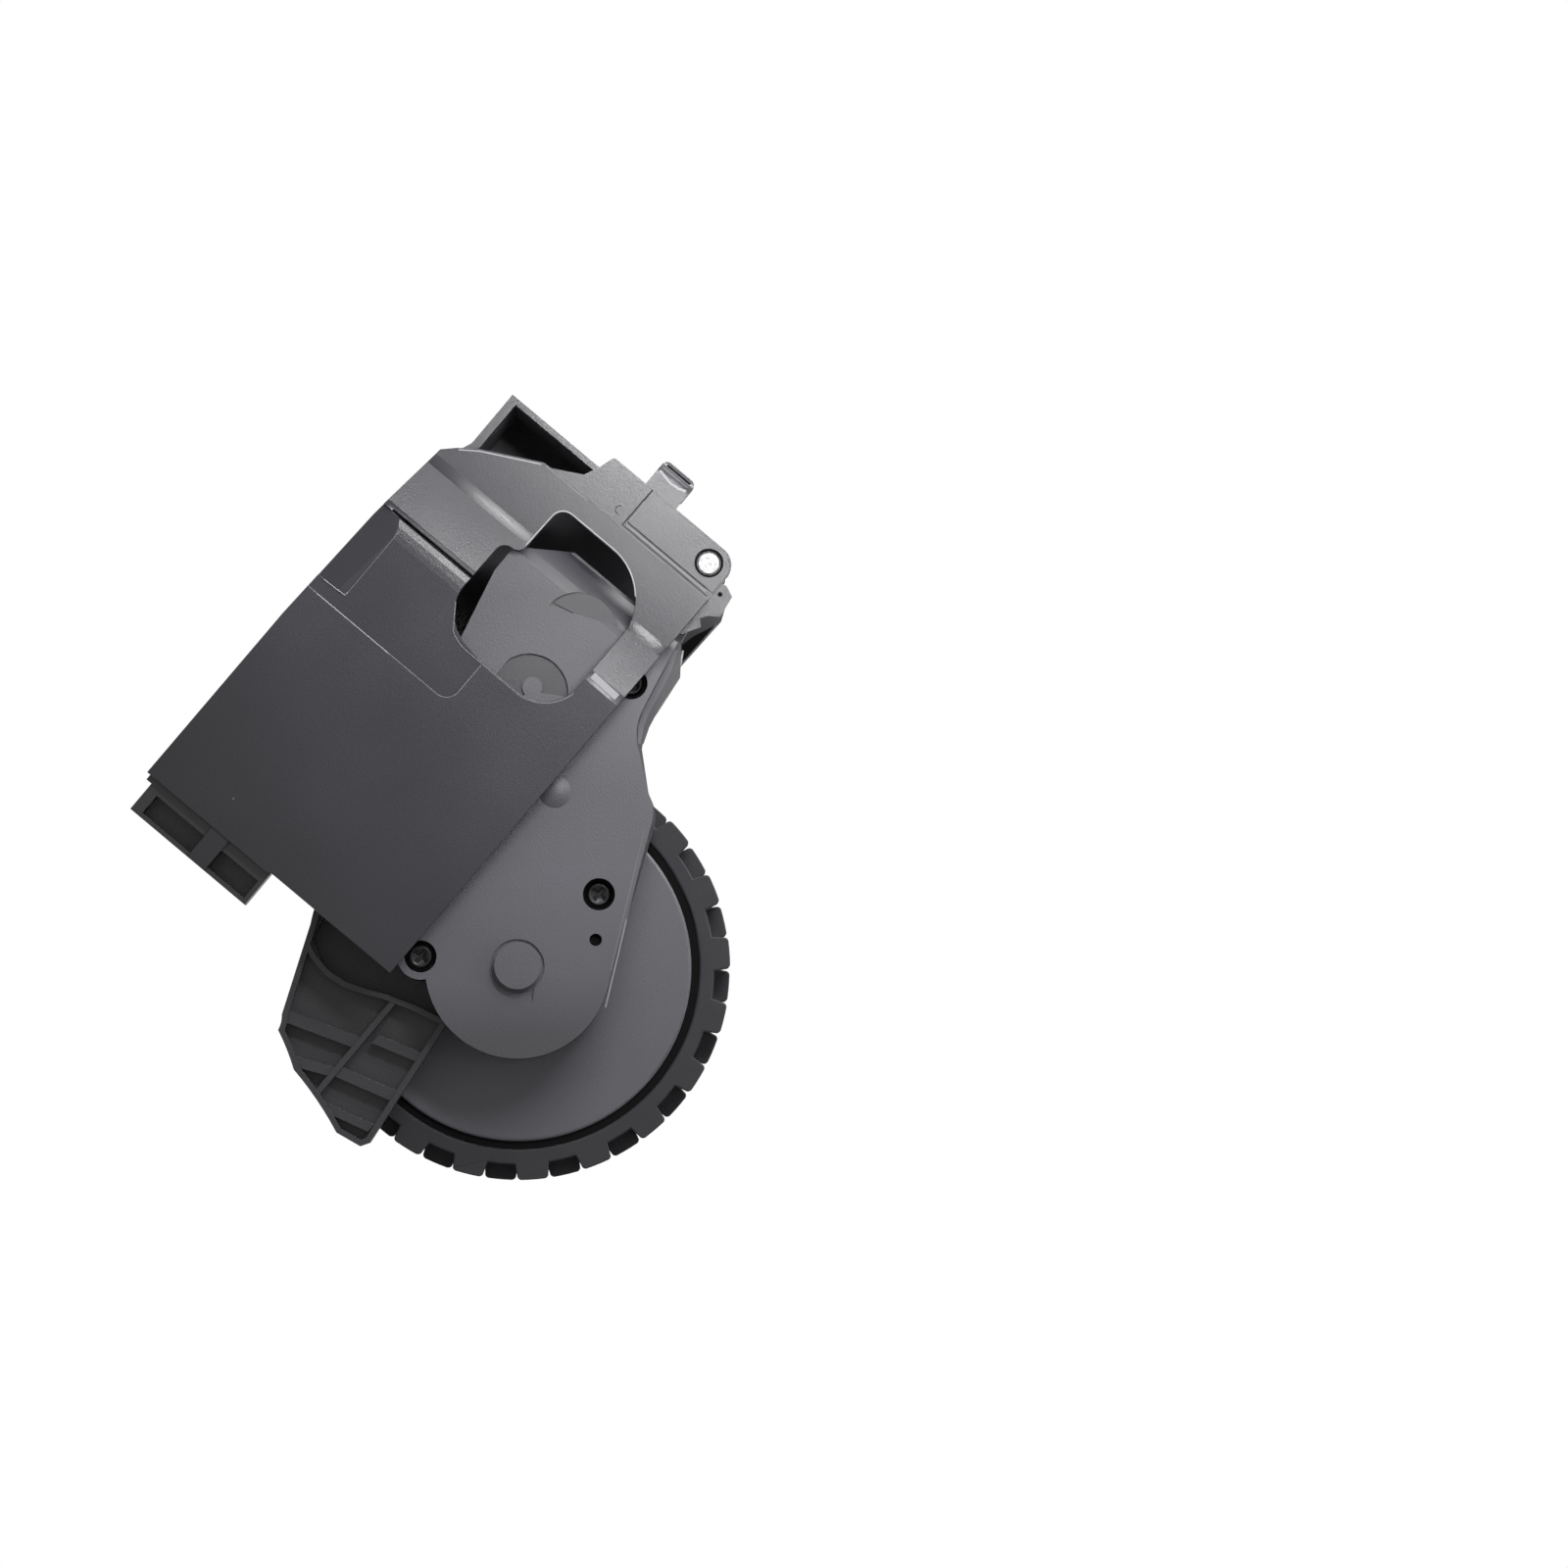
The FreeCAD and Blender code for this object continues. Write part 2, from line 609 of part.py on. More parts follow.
def make_frame_shell():
    behind = prism("BehindCover", cover_section(S.cover_wall, S.depth_all + 10),
                   S.cover_bottom - 20, S.cover_top + 10, "plan")
    strip = common("RoofBehind", prism("RoofStrip", roof_outline(), 0, S.depth_all), behind)
    plate_seat = block("PlateSeat", (S.plate_left, S.ear_right), (FAR_WALL_NEAR, S.depth_all + 1),
                       (S.ear_low, S.cover_top))
    roof = cut("Roof", strip, plate_seat)
    plate_posts = []
    plate_holes = []
    for number, spot in enumerate(PLATE_SCREWS, start=1):
        post_start = FAR_WALL_NEAR - S.plate_post
        plate_posts.append(rod(f"PlatePost{number}", spot, S.post_radius, post_start, FAR_WALL_NEAR))
        plate_holes.append(rod(f"PlateHole{number}", spot, S.thread_radius, post_start - 1,
                               FAR_WALL_NEAR + 1))
    near = prism(
        "NearEar",
        [(S.ear_left, S.ear_low), (S.ear_right - S.ear_round, S.ear_low),
         (S.ear_right, S.ear_low + S.ear_round, S.ear_round, -1),
         (S.ear_right, S.ear_high - 0.8), (S.ear_right - 0.8, S.ear_high, 0.8, -1),
         (S.side_right, S.ear_high + 0.6), (S.ear_right - 5.5, S.ear_high + 1.8),
         (S.ear_left, S.ear_high + 8.1)],
        COVER_BACK, COVER_BACK + S.ear_wall,
    )
    web = prism(
        "EarWeb",
        [(S.ear_left - 6.4, S.ear_low - 0.2), (S.ear_left - 3.4, S.ear_low - 1.9),
         (S.ear_left - 2.4, S.ear_low - 0.8), (S.ear_left - 1.2, S.ear_low - 1.6),
         (S.ear_left, S.ear_low - 3.3), (S.ear_right - 5.2, S.ear_low - 2.7),
         (S.ear_right - 4.4, S.ear_low - 0.8), (S.ear_right - 4.8, S.ear_low + 0.6),
         (S.ear_left - 6.4, S.ear_low + 0.6)],
        COVER_BACK + S.web_set, COVER_BACK + S.ear_wall,
    )
    near_boss = rod("NearBoss", PIVOT, S.boss_radius, COVER_BACK, COVER_BACK + S.ear_wall + S.boss_tall)
    outer = block("EndBlock", (S.block_left, S.block_right), (S.cover_wall, S.block_back),
                  (S.block_low, S.block_high))
    inside_x = (S.block_left + S.block_wall, S.cover_left - 2.0)
    pocket_y = (S.cover_wall - 1, S.block_back - S.block_wall)
    high = block("HighPocket", inside_x, pocket_y, (S.tab_high, S.block_high - S.seat_wall))
    low = block("LowPocket", inside_x, pocket_y, (S.block_low + S.block_wall, S.tab_low))
    end_block = cut("EndBlockHollow", outer, high, low)
    tie = block("EndTie", (S.cover_left - 1.0, S.block_right), (S.cover_wall, S.block_back),
                (S.block_high - 3, S.cover_top - S.roof_drop))
    hook_near = COVER_BACK
    corner = S.hook_corner
    hook_face = prism(
        "HookFace",
        [(S.ear_right - 3, S.hook_low), (S.hook_right - corner, S.hook_low),
         (S.hook_right, S.hook_low + corner, corner, -1),
         (S.hook_right, S.hook_high - corner),
         (S.hook_right - corner, S.hook_high, corner, -1), (S.ear_right - 3, S.hook_high)],
        hook_near - 1, hook_near + S.hook_deep + 1,
    )
    hook_block = cut(
        "HookBlock",
        prism("HookOuter",
              [(S.ear_right - 1, hook_near), (S.hook_right - S.hook_round, hook_near),
               (S.hook_right, hook_near + S.hook_round, S.hook_round, -1),
               (S.hook_right, hook_near + S.hook_deep), (S.ear_right - 1, hook_near + S.hook_deep)],
              S.hook_low, S.hook_high, "plan"),
        block("HookInside", (S.ear_right, S.hook_right - S.hook_wall),
              (hook_near + S.hook_wall, hook_near + S.hook_deep - S.hook_wall),
              (S.hook_low - 1, S.hook_high + 1)),
        block("HookMouth", (S.ear_right, S.ear_right + 1.4),
              (hook_near + S.hook_wall, hook_near + S.hook_deep + 1),
              (S.hook_low - 1, S.hook_high + 1)),
        block("HookRoot", (S.ear_right - 2, S.ear_right),
              (hook_near + S.hook_wall, hook_near + S.hook_deep + 1),
              (S.hook_low - 1, S.hook_high + 1)),
    )
    hook = common("Hook", hook_block, hook_face)
    leg_side = S.pivot_x - S.spring_radius + S.spring_wire
    spring_stop = block("SpringStop", (leg_side, S.side_right - 0.5), (SPRING_END - 1.6, SPRING_END + 1.6),
                        (S.ear_high - 14.7, S.ear_high - 11.0))
    whole = fuse("FrameWhole", roof, near, web, near_boss, end_block, tie, hook, spring_stop, *plate_posts)
    bore = rod("PinBore", PIVOT, S.pin_radius, COVER_BACK - 1, S.depth_all + 1)
    left_hole = post("LeftHole", S.screw_left_x, S.screw_left_y, S.fixing_hole,
                     S.block_high - S.seat_wall - 0.5, S.block_high + 0.5)
    right_hole = post("RightHole", S.screw_right_x, S.screw_right_y, S.fixing_hole,
                      S.box_top - 3, S.box_top + 1)
    keep(cut("FrameShell", whole, bore, left_hole, right_hole, *plate_holes), "frame_shell")


def make_outer_cover():
    """The plate behind the motor: it closes the frame and holds the pin's far end."""
    top = S.cover_top - S.roof_drop
    right, box = S.side_right, S.box_top
    plate = prism(
        "OuterPlate",
        [(S.plate_left, top - 0.5), (S.cover_bend_one - 3, top - 1.0), (right - 14.9, top - 2.6),
         (right - 12.9, top - 4.4), (right - 10.6, box), (right, box),
         (right, S.ear_high + 2), (S.ear_right, S.ear_high),
         (S.ear_right, S.ear_low + 3), (S.ear_right - 3.4, S.ear_low - 1.2, 3.6, -1),
         (S.ear_right - 8, S.ear_low - 3.2), (S.ear_right - 21, S.ear_low - 2.8),
         (S.ear_right - 24, S.ear_low), (S.cover_bend_one - 5, S.ear_low + 9),
         (S.plate_left, S.ear_low + 25)],
        FAR_WALL_NEAR, S.depth_all,
    )
    boss = rod("FarBoss", PIVOT, S.boss_radius, FAR_WALL_NEAR - S.boss_tall, S.depth_all)
    bore = rod("FarPinBore", PIVOT, S.pin_radius, FAR_WALL_NEAR - 3, S.depth_all + 1)
    holes = []
    screws = []
    for number, spot in enumerate(PLATE_SCREWS, start=1):
        holes.append(rod(f"CoverHole{number}", spot, S.thread_radius, FAR_WALL_NEAR - 1, S.depth_all + 1))
        tip = FAR_WALL_NEAR - S.plate_post + 2.4
        head = S.depth_all + S.plate_head
        screw = turned(
            f"PlateScrew{number}", spot,
            [(0, tip), (S.thread_radius, tip + 1.0), (S.thread_radius, S.depth_all),
             (S.screw_head + 0.3, S.depth_all), (S.screw_head + 0.3, head - 0.4),
             (S.screw_head - 0.3, head), (0, head)],
        )
        cross = fuse(
            f"PlateDrive{number}",
            block(f"PlateDriveLong{number}", (spot[0] - 1.3, spot[0] + 1.3), (head - 0.6, head + 1),
                  (spot[1] - 0.28, spot[1] + 0.28)),
            block(f"PlateDriveTall{number}", (spot[0] - 0.28, spot[0] + 0.28), (head - 0.6, head + 1),
                  (spot[1] - 1.3, spot[1] + 1.3)),
        )
        screws.append(cut(f"PlateScrewCut{number}", screw, cross))
    keep(cut("OuterCover", fuse("OuterCoverWhole", plate, boss), bore, *holes), "outer_cover")
    keep(gather("OuterCoverScrews", screws), "outer_cover_screws")


def make_pivot():
    clip_y = S.depth_all
    pin = turned(
        "PivotPin", PIVOT,
        [(0, COVER_BACK), (S.pin_radius - 0.3, COVER_BACK), (S.pin_radius, COVER_BACK + 0.3),
         (S.pin_radius, clip_y), (S.pin_radius - 0.5, clip_y),
         (S.pin_radius - 0.5, clip_y + S.clip_thick), (S.pin_radius, clip_y + S.clip_thick),
         (S.pin_radius, clip_y + S.clip_thick + 0.7),
         (S.pin_radius - 0.3, clip_y + S.clip_thick + 1.0), (0, clip_y + S.clip_thick + 1.0)],
    )
    keep(pin, "pivot_pin")
    clip = cut(
        "PinClip",
        rod("ClipOuter", PIVOT, S.pin_radius + 1.6, clip_y, clip_y + S.clip_thick),
        rod("ClipInner", PIVOT, S.pin_radius - 0.5, clip_y - 1, clip_y + 2),
        block("ClipMouth", (S.pivot_x - 1.2, S.pivot_x + 1.2), (clip_y - 1, clip_y + 2),
              (S.pivot_z - 6, S.pivot_z)),
    )
    keep(clip, "pin_clip")


SPRING_START = KNUCKLE_END + S.spring_wire * 2
SPRING_PITCH = S.spring_wire * 2 + 0.12
SPRING_END = SPRING_START + SPRING_PITCH * S.spring_turns


def make_return_spring():
    """A torsion spring: its near leg lies on the arm's rest, its far leg on the frame's stop."""
    helix = doc.addObject("Part::Helix", "SpringPath")
    link(helix, "Pitch", SPRING_PITCH)
    link(helix, "Height", SPRING_END - SPRING_START)
    link(helix, "Radius", S.spring_radius)
    section = doc.addObject("Part::Circle", "SpringWire")
    link(section, "Radius", S.spring_wire)
    section.Placement.Rotation = FreeCAD.Rotation(Vector(1, 0, 0), 90)
    place(section, S.spring_radius, 0, 0)
    coil = doc.addObject("Part::Sweep", "SpringCoil")
    coil.Sections = [section]
    coil.Spine = (helix, [])
    coil.Solid = True
    coil.Frenet = True
    near_leg = doc.addObject("Part::Cylinder", "SpringNearLeg")
    near_leg.Placement.Rotation = FreeCAD.Rotation(Vector(1, 0, 0), 90)
    link(near_leg, "Height", S.spring_leg)
    place(near_leg, S.spring_radius, 0, 0)
    far_leg = doc.addObject("Part::Cylinder", "SpringFarLeg")
    far_leg.Placement.Rotation = FreeCAD.Rotation(Vector(0, 1, 0), 90)
    link(far_leg, "Height", S.spring_far_leg)
    place(far_leg, 0, -S.spring_radius, SPRING_END - SPRING_START)
    for leg in (near_leg, far_leg):
        link(leg, "Radius", S.spring_wire)
    spring = fuse("SpringWhole", coil, near_leg, far_leg)
    upright = FreeCAD.Rotation(Vector(1, 0, 0), -90)
    spring.Placement = FreeCAD.Placement(
        Vector(), upright.multiply(FreeCAD.Rotation(Vector(0, 0, 1), -90)))
    place(spring, S.pivot_x, SPRING_START, S.pivot_z)
    keep(gather("ReturnSpring", [spring]), "return_spring")


def arm_outline():
    """The near half of the gearbox, from the screw ear round the axle to the head."""
    tangent = on_circle(AXLE, S.head_radius, -65)
    upper = on_circle(AXLE, S.head_radius, 128)
    return [
        upper,
        (tangent[0], tangent[1], S.head_radius, -1),
        (S.motor_x - 12.4, S.motor_z - 33.3),
        (S.motor_x - 8.8, S.motor_z - 29.8, 6.5, -1),
        (S.motor_x - 4.0, S.motor_z - 23.4),
        (S.motor_x + 1.5, S.motor_z - 19.8, 9.0, 1),
        (S.motor_x + 14.0, S.motor_z - 17.0),
        (S.motor_x + 14.0, S.motor_z + 6.6),
        (S.motor_x + 8.5, S.motor_z + 14.3),
        (S.motor_x + 3.5, S.motor_z + 14.3),
        (S.motor_x - 9.5, S.motor_z + 11.2),
        (S.gear_two_x - 17, S.motor_z + 3.0),
        (upper[0], S.motor_z - 3.4),
    ]


def base_outline():
    """The far half of the gearbox, a little wider below, with its tail to the pivot."""
    tangent = on_circle(AXLE, S.head_radius, -65)
    upper = on_circle(AXLE, S.head_radius, 128)
    return [
        upper,
        (tangent[0], tangent[1], S.head_radius, -1),
        (S.motor_x - 12.4, S.motor_z - 33.3 - S.ledge),
        (S.motor_x - 8.8, S.motor_z - 29.8, 6.5, -1),
        (S.motor_x - 3.6, S.motor_z - 23.9),
        (S.motor_x + 3.0, S.motor_z - 21.8, 12.0, 1),
        (S.motor_x + 10.0, S.motor_z - 20.9),
        (S.motor_x + 14.5, S.motor_z - 17.4),
        (S.motor_x + 14.5, S.motor_z + 6.0),
        (S.motor_x + 8.5, S.motor_z + 14.3),
        (S.motor_x + 3.5, S.motor_z + 14.3),
        (S.motor_x - 9.5, S.motor_z + 11.2),
        (S.gear_two_x - 17, S.motor_z + 3.0),
        (upper[0], S.motor_z - 3.4),
    ]


# word, centre and depth of the counterbore
SCREW_PLACES = [
    ("One", (as_size(18.0), as_size(-2.7)), S.head_deep),
    ("Two", EAR_SCREW, S.ear_deep),
    ("Three", (S.motor_x + 3.6, S.cover_bottom + 0.4), S.head_deep),
    ("Four", (S.gear_two_x - 4.0, S.motor_z + 1.4), S.head_deep),
]


def make_gearbox_cover():
    outer = fuse("LidOuter", prism("LidBody", arm_outline(), S.face_y, S.parting_y),
                 rod("LidEar", EAR_SCREW, S.ear_out, S.face_y, S.parting_y))
    shoulder = prism(
        "LidShoulder",
        [(S.motor_x + 8.2, S.face_y - 1), (S.motor_x + 8.2, S.face_y),
         (S.motor_x + 14.2, S.face_y + 3.7, 12.0, -1), (S.motor_x + 14.2, S.face_y - 1)],
        0, S.cover_top, "plan",
    )
    cavity = inset("LidCavity", arm_outline(), S.rim_thin, INSIDE_NEAR, S.parting_y + 1)
    thick_corner = block("LidCorner", (S.motor_x + 8.0, S.motor_x + 20),
                         (INSIDE_NEAR - 1, INSIDE_NEAR + 2.4),
                         (0, S.cover_top))
    hollow = cut("LidHollow", cavity, thick_corner)
    half_moon_one = common(
        "MoonOne",
        rod("MoonOneDisc", (S.window_left + 1.2, S.window_low + 5.8), 6.6,
            S.face_y - 1, S.face_y + S.moon_deep),
        prism("MoonOneSide",
              [(S.window_left - 8, S.window_low + 12), (S.window_left + 9, S.window_low + 12),
               (S.window_left + 9, S.window_low - 2), (S.window_left + 5, S.window_low),
               (S.window_left + 1.6, S.window_low + 6), (S.window_left - 8, S.window_low + 8)],
              S.face_y - 2, S.face_y + 2),
    )
    moon_pin = rod("MoonPin", (S.window_left + 2.3, S.window_low + 6.0), 1.7, S.face_y - 2, S.face_y + 0.3)
    half_moon_two = common(
        "MoonTwo",
        rod("MoonTwoDisc", (S.window_left + 14.4, S.window_low + 6.0), 6.7,
            S.face_y - 1, S.face_y + S.moon_deep),
        prism("MoonTwoSide",
              [(S.window_left + 14.6, S.window_low + 12.6), (S.window_left + 24, S.window_low + 12.6),
               (S.window_left + 24, S.window_low - 2), (S.window_left + 20.2, S.window_low - 0.6)],
              S.face_y - 2, S.face_y + 2),
    )
    clear_of_gears = S.layer_near - 0.2
    boss = rod("AxleBoss", AXLE, S.axle_boss, S.face_y - S.boss_out, clear_of_gears)
    dome = doc.addObject("Part::Sphere", "Dome")
    dome.Radius = 6.5
    place(dome, 26.4, S.face_y + 5.9, 14.0)
    posts, holes, heads = [], [], []
    for word, centre, deep in SCREW_PLACES:
        posts.append(rod("LidPost" + word, centre, S.head_hole + 0.9, S.face_y, S.face_y + deep + 0.5))
        posts.append(rod("LidSleeve" + word, centre, S.post_radius, S.face_y, S.parting_y))
        holes.append(rod("LidHole" + word, centre, S.thread_radius, S.face_y - 1, S.parting_y + 1))
        heads.append(rod("LidSink" + word, centre, S.head_hole, S.face_y - 1, S.face_y + deep))
    seats = []
    for word, centre in (("One", GEAR_ONE), ("Two", GEAR_TWO)):
        seats.append(rod("LidSeat" + word, centre, S.pin_axle + 1.2, S.face_y, clear_of_gears))
        holes.append(rod("LidSocket" + word, centre, S.pin_axle, S.face_y + 0.8, S.layer_near))
    bush = rod("LidBush", AXLE, S.bush_radius, S.face_y - 0.8, INSIDE_NEAR + 3)
    small_hole = rod("LidSmallHole", (as_size(11.8), as_size(-7.2)), 1.05, S.face_y - 1, INSIDE_NEAR + 0.5)
    arrow = prism("LidArrow", [(as_size(-0.4), as_size(-4.1)), (as_size(-3.0), as_size(-5.8)),
                               (as_size(-2.0), as_size(-4.2))], S.face_y - 1, S.face_y + 0.4)
    groove = rod("BossGroove", AXLE, S.axle_boss + S.boss_groove, S.face_y - 1, S.face_y + S.groove_deep)
    shell = cut("LidShell", outer, shoulder, hollow, half_moon_one, half_moon_two, arrow, groove)
    full = fuse("LidFull", shell, moon_pin_trim(moon_pin), boss, dome_trim(dome), *posts, *seats)
    clear = rod("LidShaftRoom", AXLE, S.bush_radius, INSIDE_NEAR, S.parting_y + 1)
    keep(cut("GearboxCover", full, bush, clear, small_hole, *holes, *heads), "gearbox_cover")


def moon_pin_trim(pin):
    """The small boss stands only as high as the face."""
    return common("MoonPinTrim", pin,
                  block("MoonPinBox", (0, 80), (S.face_y, S.face_y + 1.2), (0, 60)))


def dome_trim(dome):
    """The dome stands out of the face, and its rest is cut away."""
    return common("DomeTrim", dome,
                  block("DomeBox", (0, 80), (S.face_y - 2, S.face_y + 0.5), (0, 60)))


def fender_outline():
    """The fender seen from the cover's side, closed against the gearbox."""
    low_left = (-S.fender_out + 0.9, as_size(0.9))
    return [
        (as_size(-38.6), as_size(0.0)),
        low_left,
        (-S.fender_out + 0.1, as_size(5.4)),
        (as_size(-37.4), as_size(17.7), 60, -1),
        (as_size(-34.0), as_size(24.0), 40, -1),
        (as_size(-31.6), as_size(25.2), 5, -1),
        (as_size(-15.2), as_size(32.0)),
        (S.gear_two_x - 17, S.motor_z + 3.0),
        (as_size(-4.0), as_size(16.0)),
        (as_size(-12.0), as_size(6.0)),
        (as_size(-14.0), as_size(3.1)),
        (as_size(-19.5), as_size(2.4)),
    ]


def fender_ribs():
    """The slanting ribs and the level rib, before they are trimmed to the fender."""
    slants = [
        ("A", (-31.4, 24.6), (-27.0, 12.2), 2.2),
        ("B", (-36.4, 18.8), (-33.4, 12.2), 1.9),
        ("C", (-33.0, 12.2), (-30.0, 2.0), 2.0),
        ("D", (-24.7, 10.6), (-22.2, 2.6), 1.8),
        ("E", (-39.2, 11.0), (-36.6, 1.4), 1.6),
    ]
    ribs = []
    for word, high, low, wide in slants:
        half = wide / 2
        ribs.append(prism("Slant" + word,
                          [(high[0] - half, high[1]), (high[0] + half, high[1]),
                           (low[0] + half, low[1]), (low[0] - half, low[1])],
                          S.fender_near + 0.9, S.fender_floor + 0.5))
    half_rib = S.fender_rib / 2
    ribs.append(block("LevelRib", (-42, -17.6), (S.fender_near + 0.2, S.fender_floor + 0.5),
                      (S.fender_rib_z - half_rib, S.fender_rib_z + half_rib)))
    return ribs


def inner_wall_outline():
    """The curved wall that closes the fender's ribbed floor towards the gearbox."""
    line = [(-18.4, 31.5), (-20.2, 27.6), (-20.9, 24.0), (-20.5, 20.5), (-19.4, 17.4),
            (-17.6, 13.6), (-16.0, 8.9), (-14.6, 3.2)]
    near_side = [(as_size(x), as_size(z)) for x, z in line]
    far_side = [(x - S.fender_wall, as_size(z)) for x, z in reversed(line)]
    return near_side, far_side


def make_gearbox_base():
    body = prism("BaseBody", base_outline(), S.parting_y, S.base_y)
    ear = rod("BaseEar", EAR_SCREW, S.ear_out, S.parting_y, S.base_y)
    cavity = inset("BaseCavity", arm_outline(), S.rim_thin, S.parting_y - 1, INSIDE_FAR)
    box = cut("BaseBox", fuse("BaseOuter", body, ear), cavity)
    region = prism("FenderRegion", fender_outline(), S.fender_near, S.base_y)
    floor_cut = inset("FenderInside", fender_outline(), S.fender_wall, S.fender_near - 1, S.fender_floor)
    near_side, far_side = inner_wall_outline()
    back_cut = common(
        "FenderBack",
        inset("FenderBackInside", fender_outline(), S.fender_wall,
              S.fender_floor + S.fender_plate, S.base_y + 1),
        prism("FenderBackLeft", far_side + [(as_size(-45), as_size(31.5)), (as_size(-45), as_size(-1)),
                                            (as_size(-15.8), as_size(-1))],
              S.fender_floor, S.base_y + 2),
    )
    rim_and_floor = cut("FenderDish", region, floor_cut, back_cut)
    right_of_wall = prism(
        "FenderDeep",
        [(as_size(-18.6), as_size(29.4)), (as_size(-20.9), as_size(25.0)), (as_size(-20.5), as_size(20.5)),
         (as_size(-17.6), as_size(14.0)), (as_size(-16.0), as_size(9.0)), (as_size(-14.9), as_size(4.6)),
         (as_size(-4), as_size(16)), (as_size(-4), as_size(33))],
        S.fender_near - 1, INSIDE_FAR,
    )
    dish = cut("FenderDishDeep", rim_and_floor, right_of_wall)
    trimmed = common("FenderRibs", fuse("FenderRibsAll", *fender_ribs()),
                     prism("FenderTrim", fender_outline(), S.fender_near, S.base_y))
    curved = common("FenderCurved", prism("CurvedWall", near_side + far_side, S.fender_near, INSIDE_FAR + 1),
                    prism("FenderTrimTwo", fender_outline(), S.fender_near, S.base_y))
    clear_hub = rod("FenderBackClear", AXLE, S.tyre_radius + 3.0, S.base_y, S.fender_far + 1)
    guard_region = inset("GuardRegion", fender_outline(), S.guard_inset, S.base_y - 1, S.fender_far)
    guard_inside = inset("GuardInside", fender_outline(), S.guard_inset + S.fender_wall,
                         S.base_y - 2, S.fender_far + 1)
    left_only = block("GuardLeft", (-45, -33.5), (S.base_y - 1, S.fender_far), (3.5, 26))
    guard = cut("Guard", common("GuardKept", guard_region, left_only), guard_inside, clear_hub)
    knuckle = rod("Knuckle", PIVOT, S.knuckle_radius,
                  COVER_BACK + S.ear_wall + S.boss_tall + S.side_gap, KNUCKLE_END)
    tail = prism(
        "Tail",
        [(S.motor_x + 13.2, S.motor_z - 17.6), (S.pivot_x - 2.4, S.pivot_z - S.knuckle_radius + 0.7),
         (S.pivot_x - 1.0, S.pivot_z), (S.pivot_x - 2.4, S.pivot_z + S.knuckle_radius - 0.7),
         (S.motor_x + 13.2, S.window_low + 0.2)],
        S.parting_y + 0.6, S.base_y,
    )
    rest_top = S.pivot_z + S.spring_radius - S.spring_wire
    spring_rest = block("SpringRest", (S.pivot_x - 9.5, S.pivot_x - 6.0), (INSIDE_FAR, SPRING_START + 1.2),
                        (rest_top - 3, rest_top))
    posts, holes = [], []
    for word, centre, _ in SCREW_PLACES:
        posts.append(rod("BasePost" + word, centre, S.post_radius, S.parting_y, S.base_y))
        holes.append(rod("BaseHole" + word, centre, S.thread_radius, S.parting_y - 1, S.parting_y + 6.5))
    for word, centre in (("One", GEAR_ONE), ("Two", GEAR_TWO)):
        top = LAYER_THREE + S.gear_wide
        posts.append(rod("BaseSeat" + word, centre, S.pin_axle + 1.2, top + 0.15, S.base_y))
        holes.append(rod("BaseSocket" + word, centre, S.pin_axle, top, S.base_y - 0.6))
    bearing_seat = rod("BearingSeat", AXLE, S.bearing_radius + 1.4,
                       S.base_y - S.bearing_wide - 1.2, S.base_y)
    bearing_hole = rod("BearingHole", AXLE, S.bearing_radius, S.base_y - S.bearing_wide - 2, S.base_y - 0.6)
    shaft_hole = rod("ShaftHole", AXLE, S.axle_radius + 0.8, S.base_y - 2, S.base_y + 1)
    pilot = rod("MotorPilot", MOTOR, 3.2, INSIDE_FAR - 1, S.base_y + 1)
    pin_bore = rod("KnuckleBore", PIVOT, S.pin_radius + S.pin_gap, S.face_y, KNUCKLE_END + 1)
    for side in (-1, 1):
        spot = motor_screw_spot(side)
        holes.append(rod(f"MotorScrewHole{side + 1}", spot, 0.8, INSIDE_FAR - 1, S.base_y + 1))
    whole = fuse("BaseWhole", box, dish, trimmed, curved, guard, knuckle, tail, spring_rest,
                 bearing_seat, *posts)
    keep(cut("GearboxBase", whole, bearing_hole, shaft_hole, pilot, pin_bore, *holes), "gearbox_base")


def motor_screw_spot(side):
    """One of the two screws that hold the motor, either side of its pilot."""
    return (S.motor_x + 5.6 * side, S.motor_z - 3.0 * side)


def make_gearbox_screws():
    screws = []
    for word, centre, deep in SCREW_PLACES:
        head_far = S.face_y + deep
        screw = turned(
            "Screw" + word, centre,
            [(0, head_far - S.screw_tall + 0.4), (S.screw_head - 0.5, head_far - S.screw_tall),
             (S.screw_head, head_far - S.screw_tall + 0.5), (S.screw_head, head_far),
             (S.thread_radius, head_far), (S.thread_radius, S.parting_y + 4.6),
             (0, S.parting_y + 5.6)],
        )
        cross = fuse(
            "Drive" + word,
            block("DriveLong" + word, (centre[0] - 1.3, centre[0] + 1.3),
                  (head_far - S.screw_tall - 1, head_far - S.screw_tall + 1.0),
                  (centre[1] - 0.28, centre[1] + 0.28)),
            block("DriveTall" + word, (centre[0] - 0.28, centre[0] + 0.28),
                  (head_far - S.screw_tall - 1, head_far - S.screw_tall + 1.0),
                  (centre[1] - 1.3, centre[1] + 1.3)),
        )
        screws.append(cut("ScrewCut" + word, screw, cross))
    keep(gather("GearboxScrews", screws), "gearbox_screws")


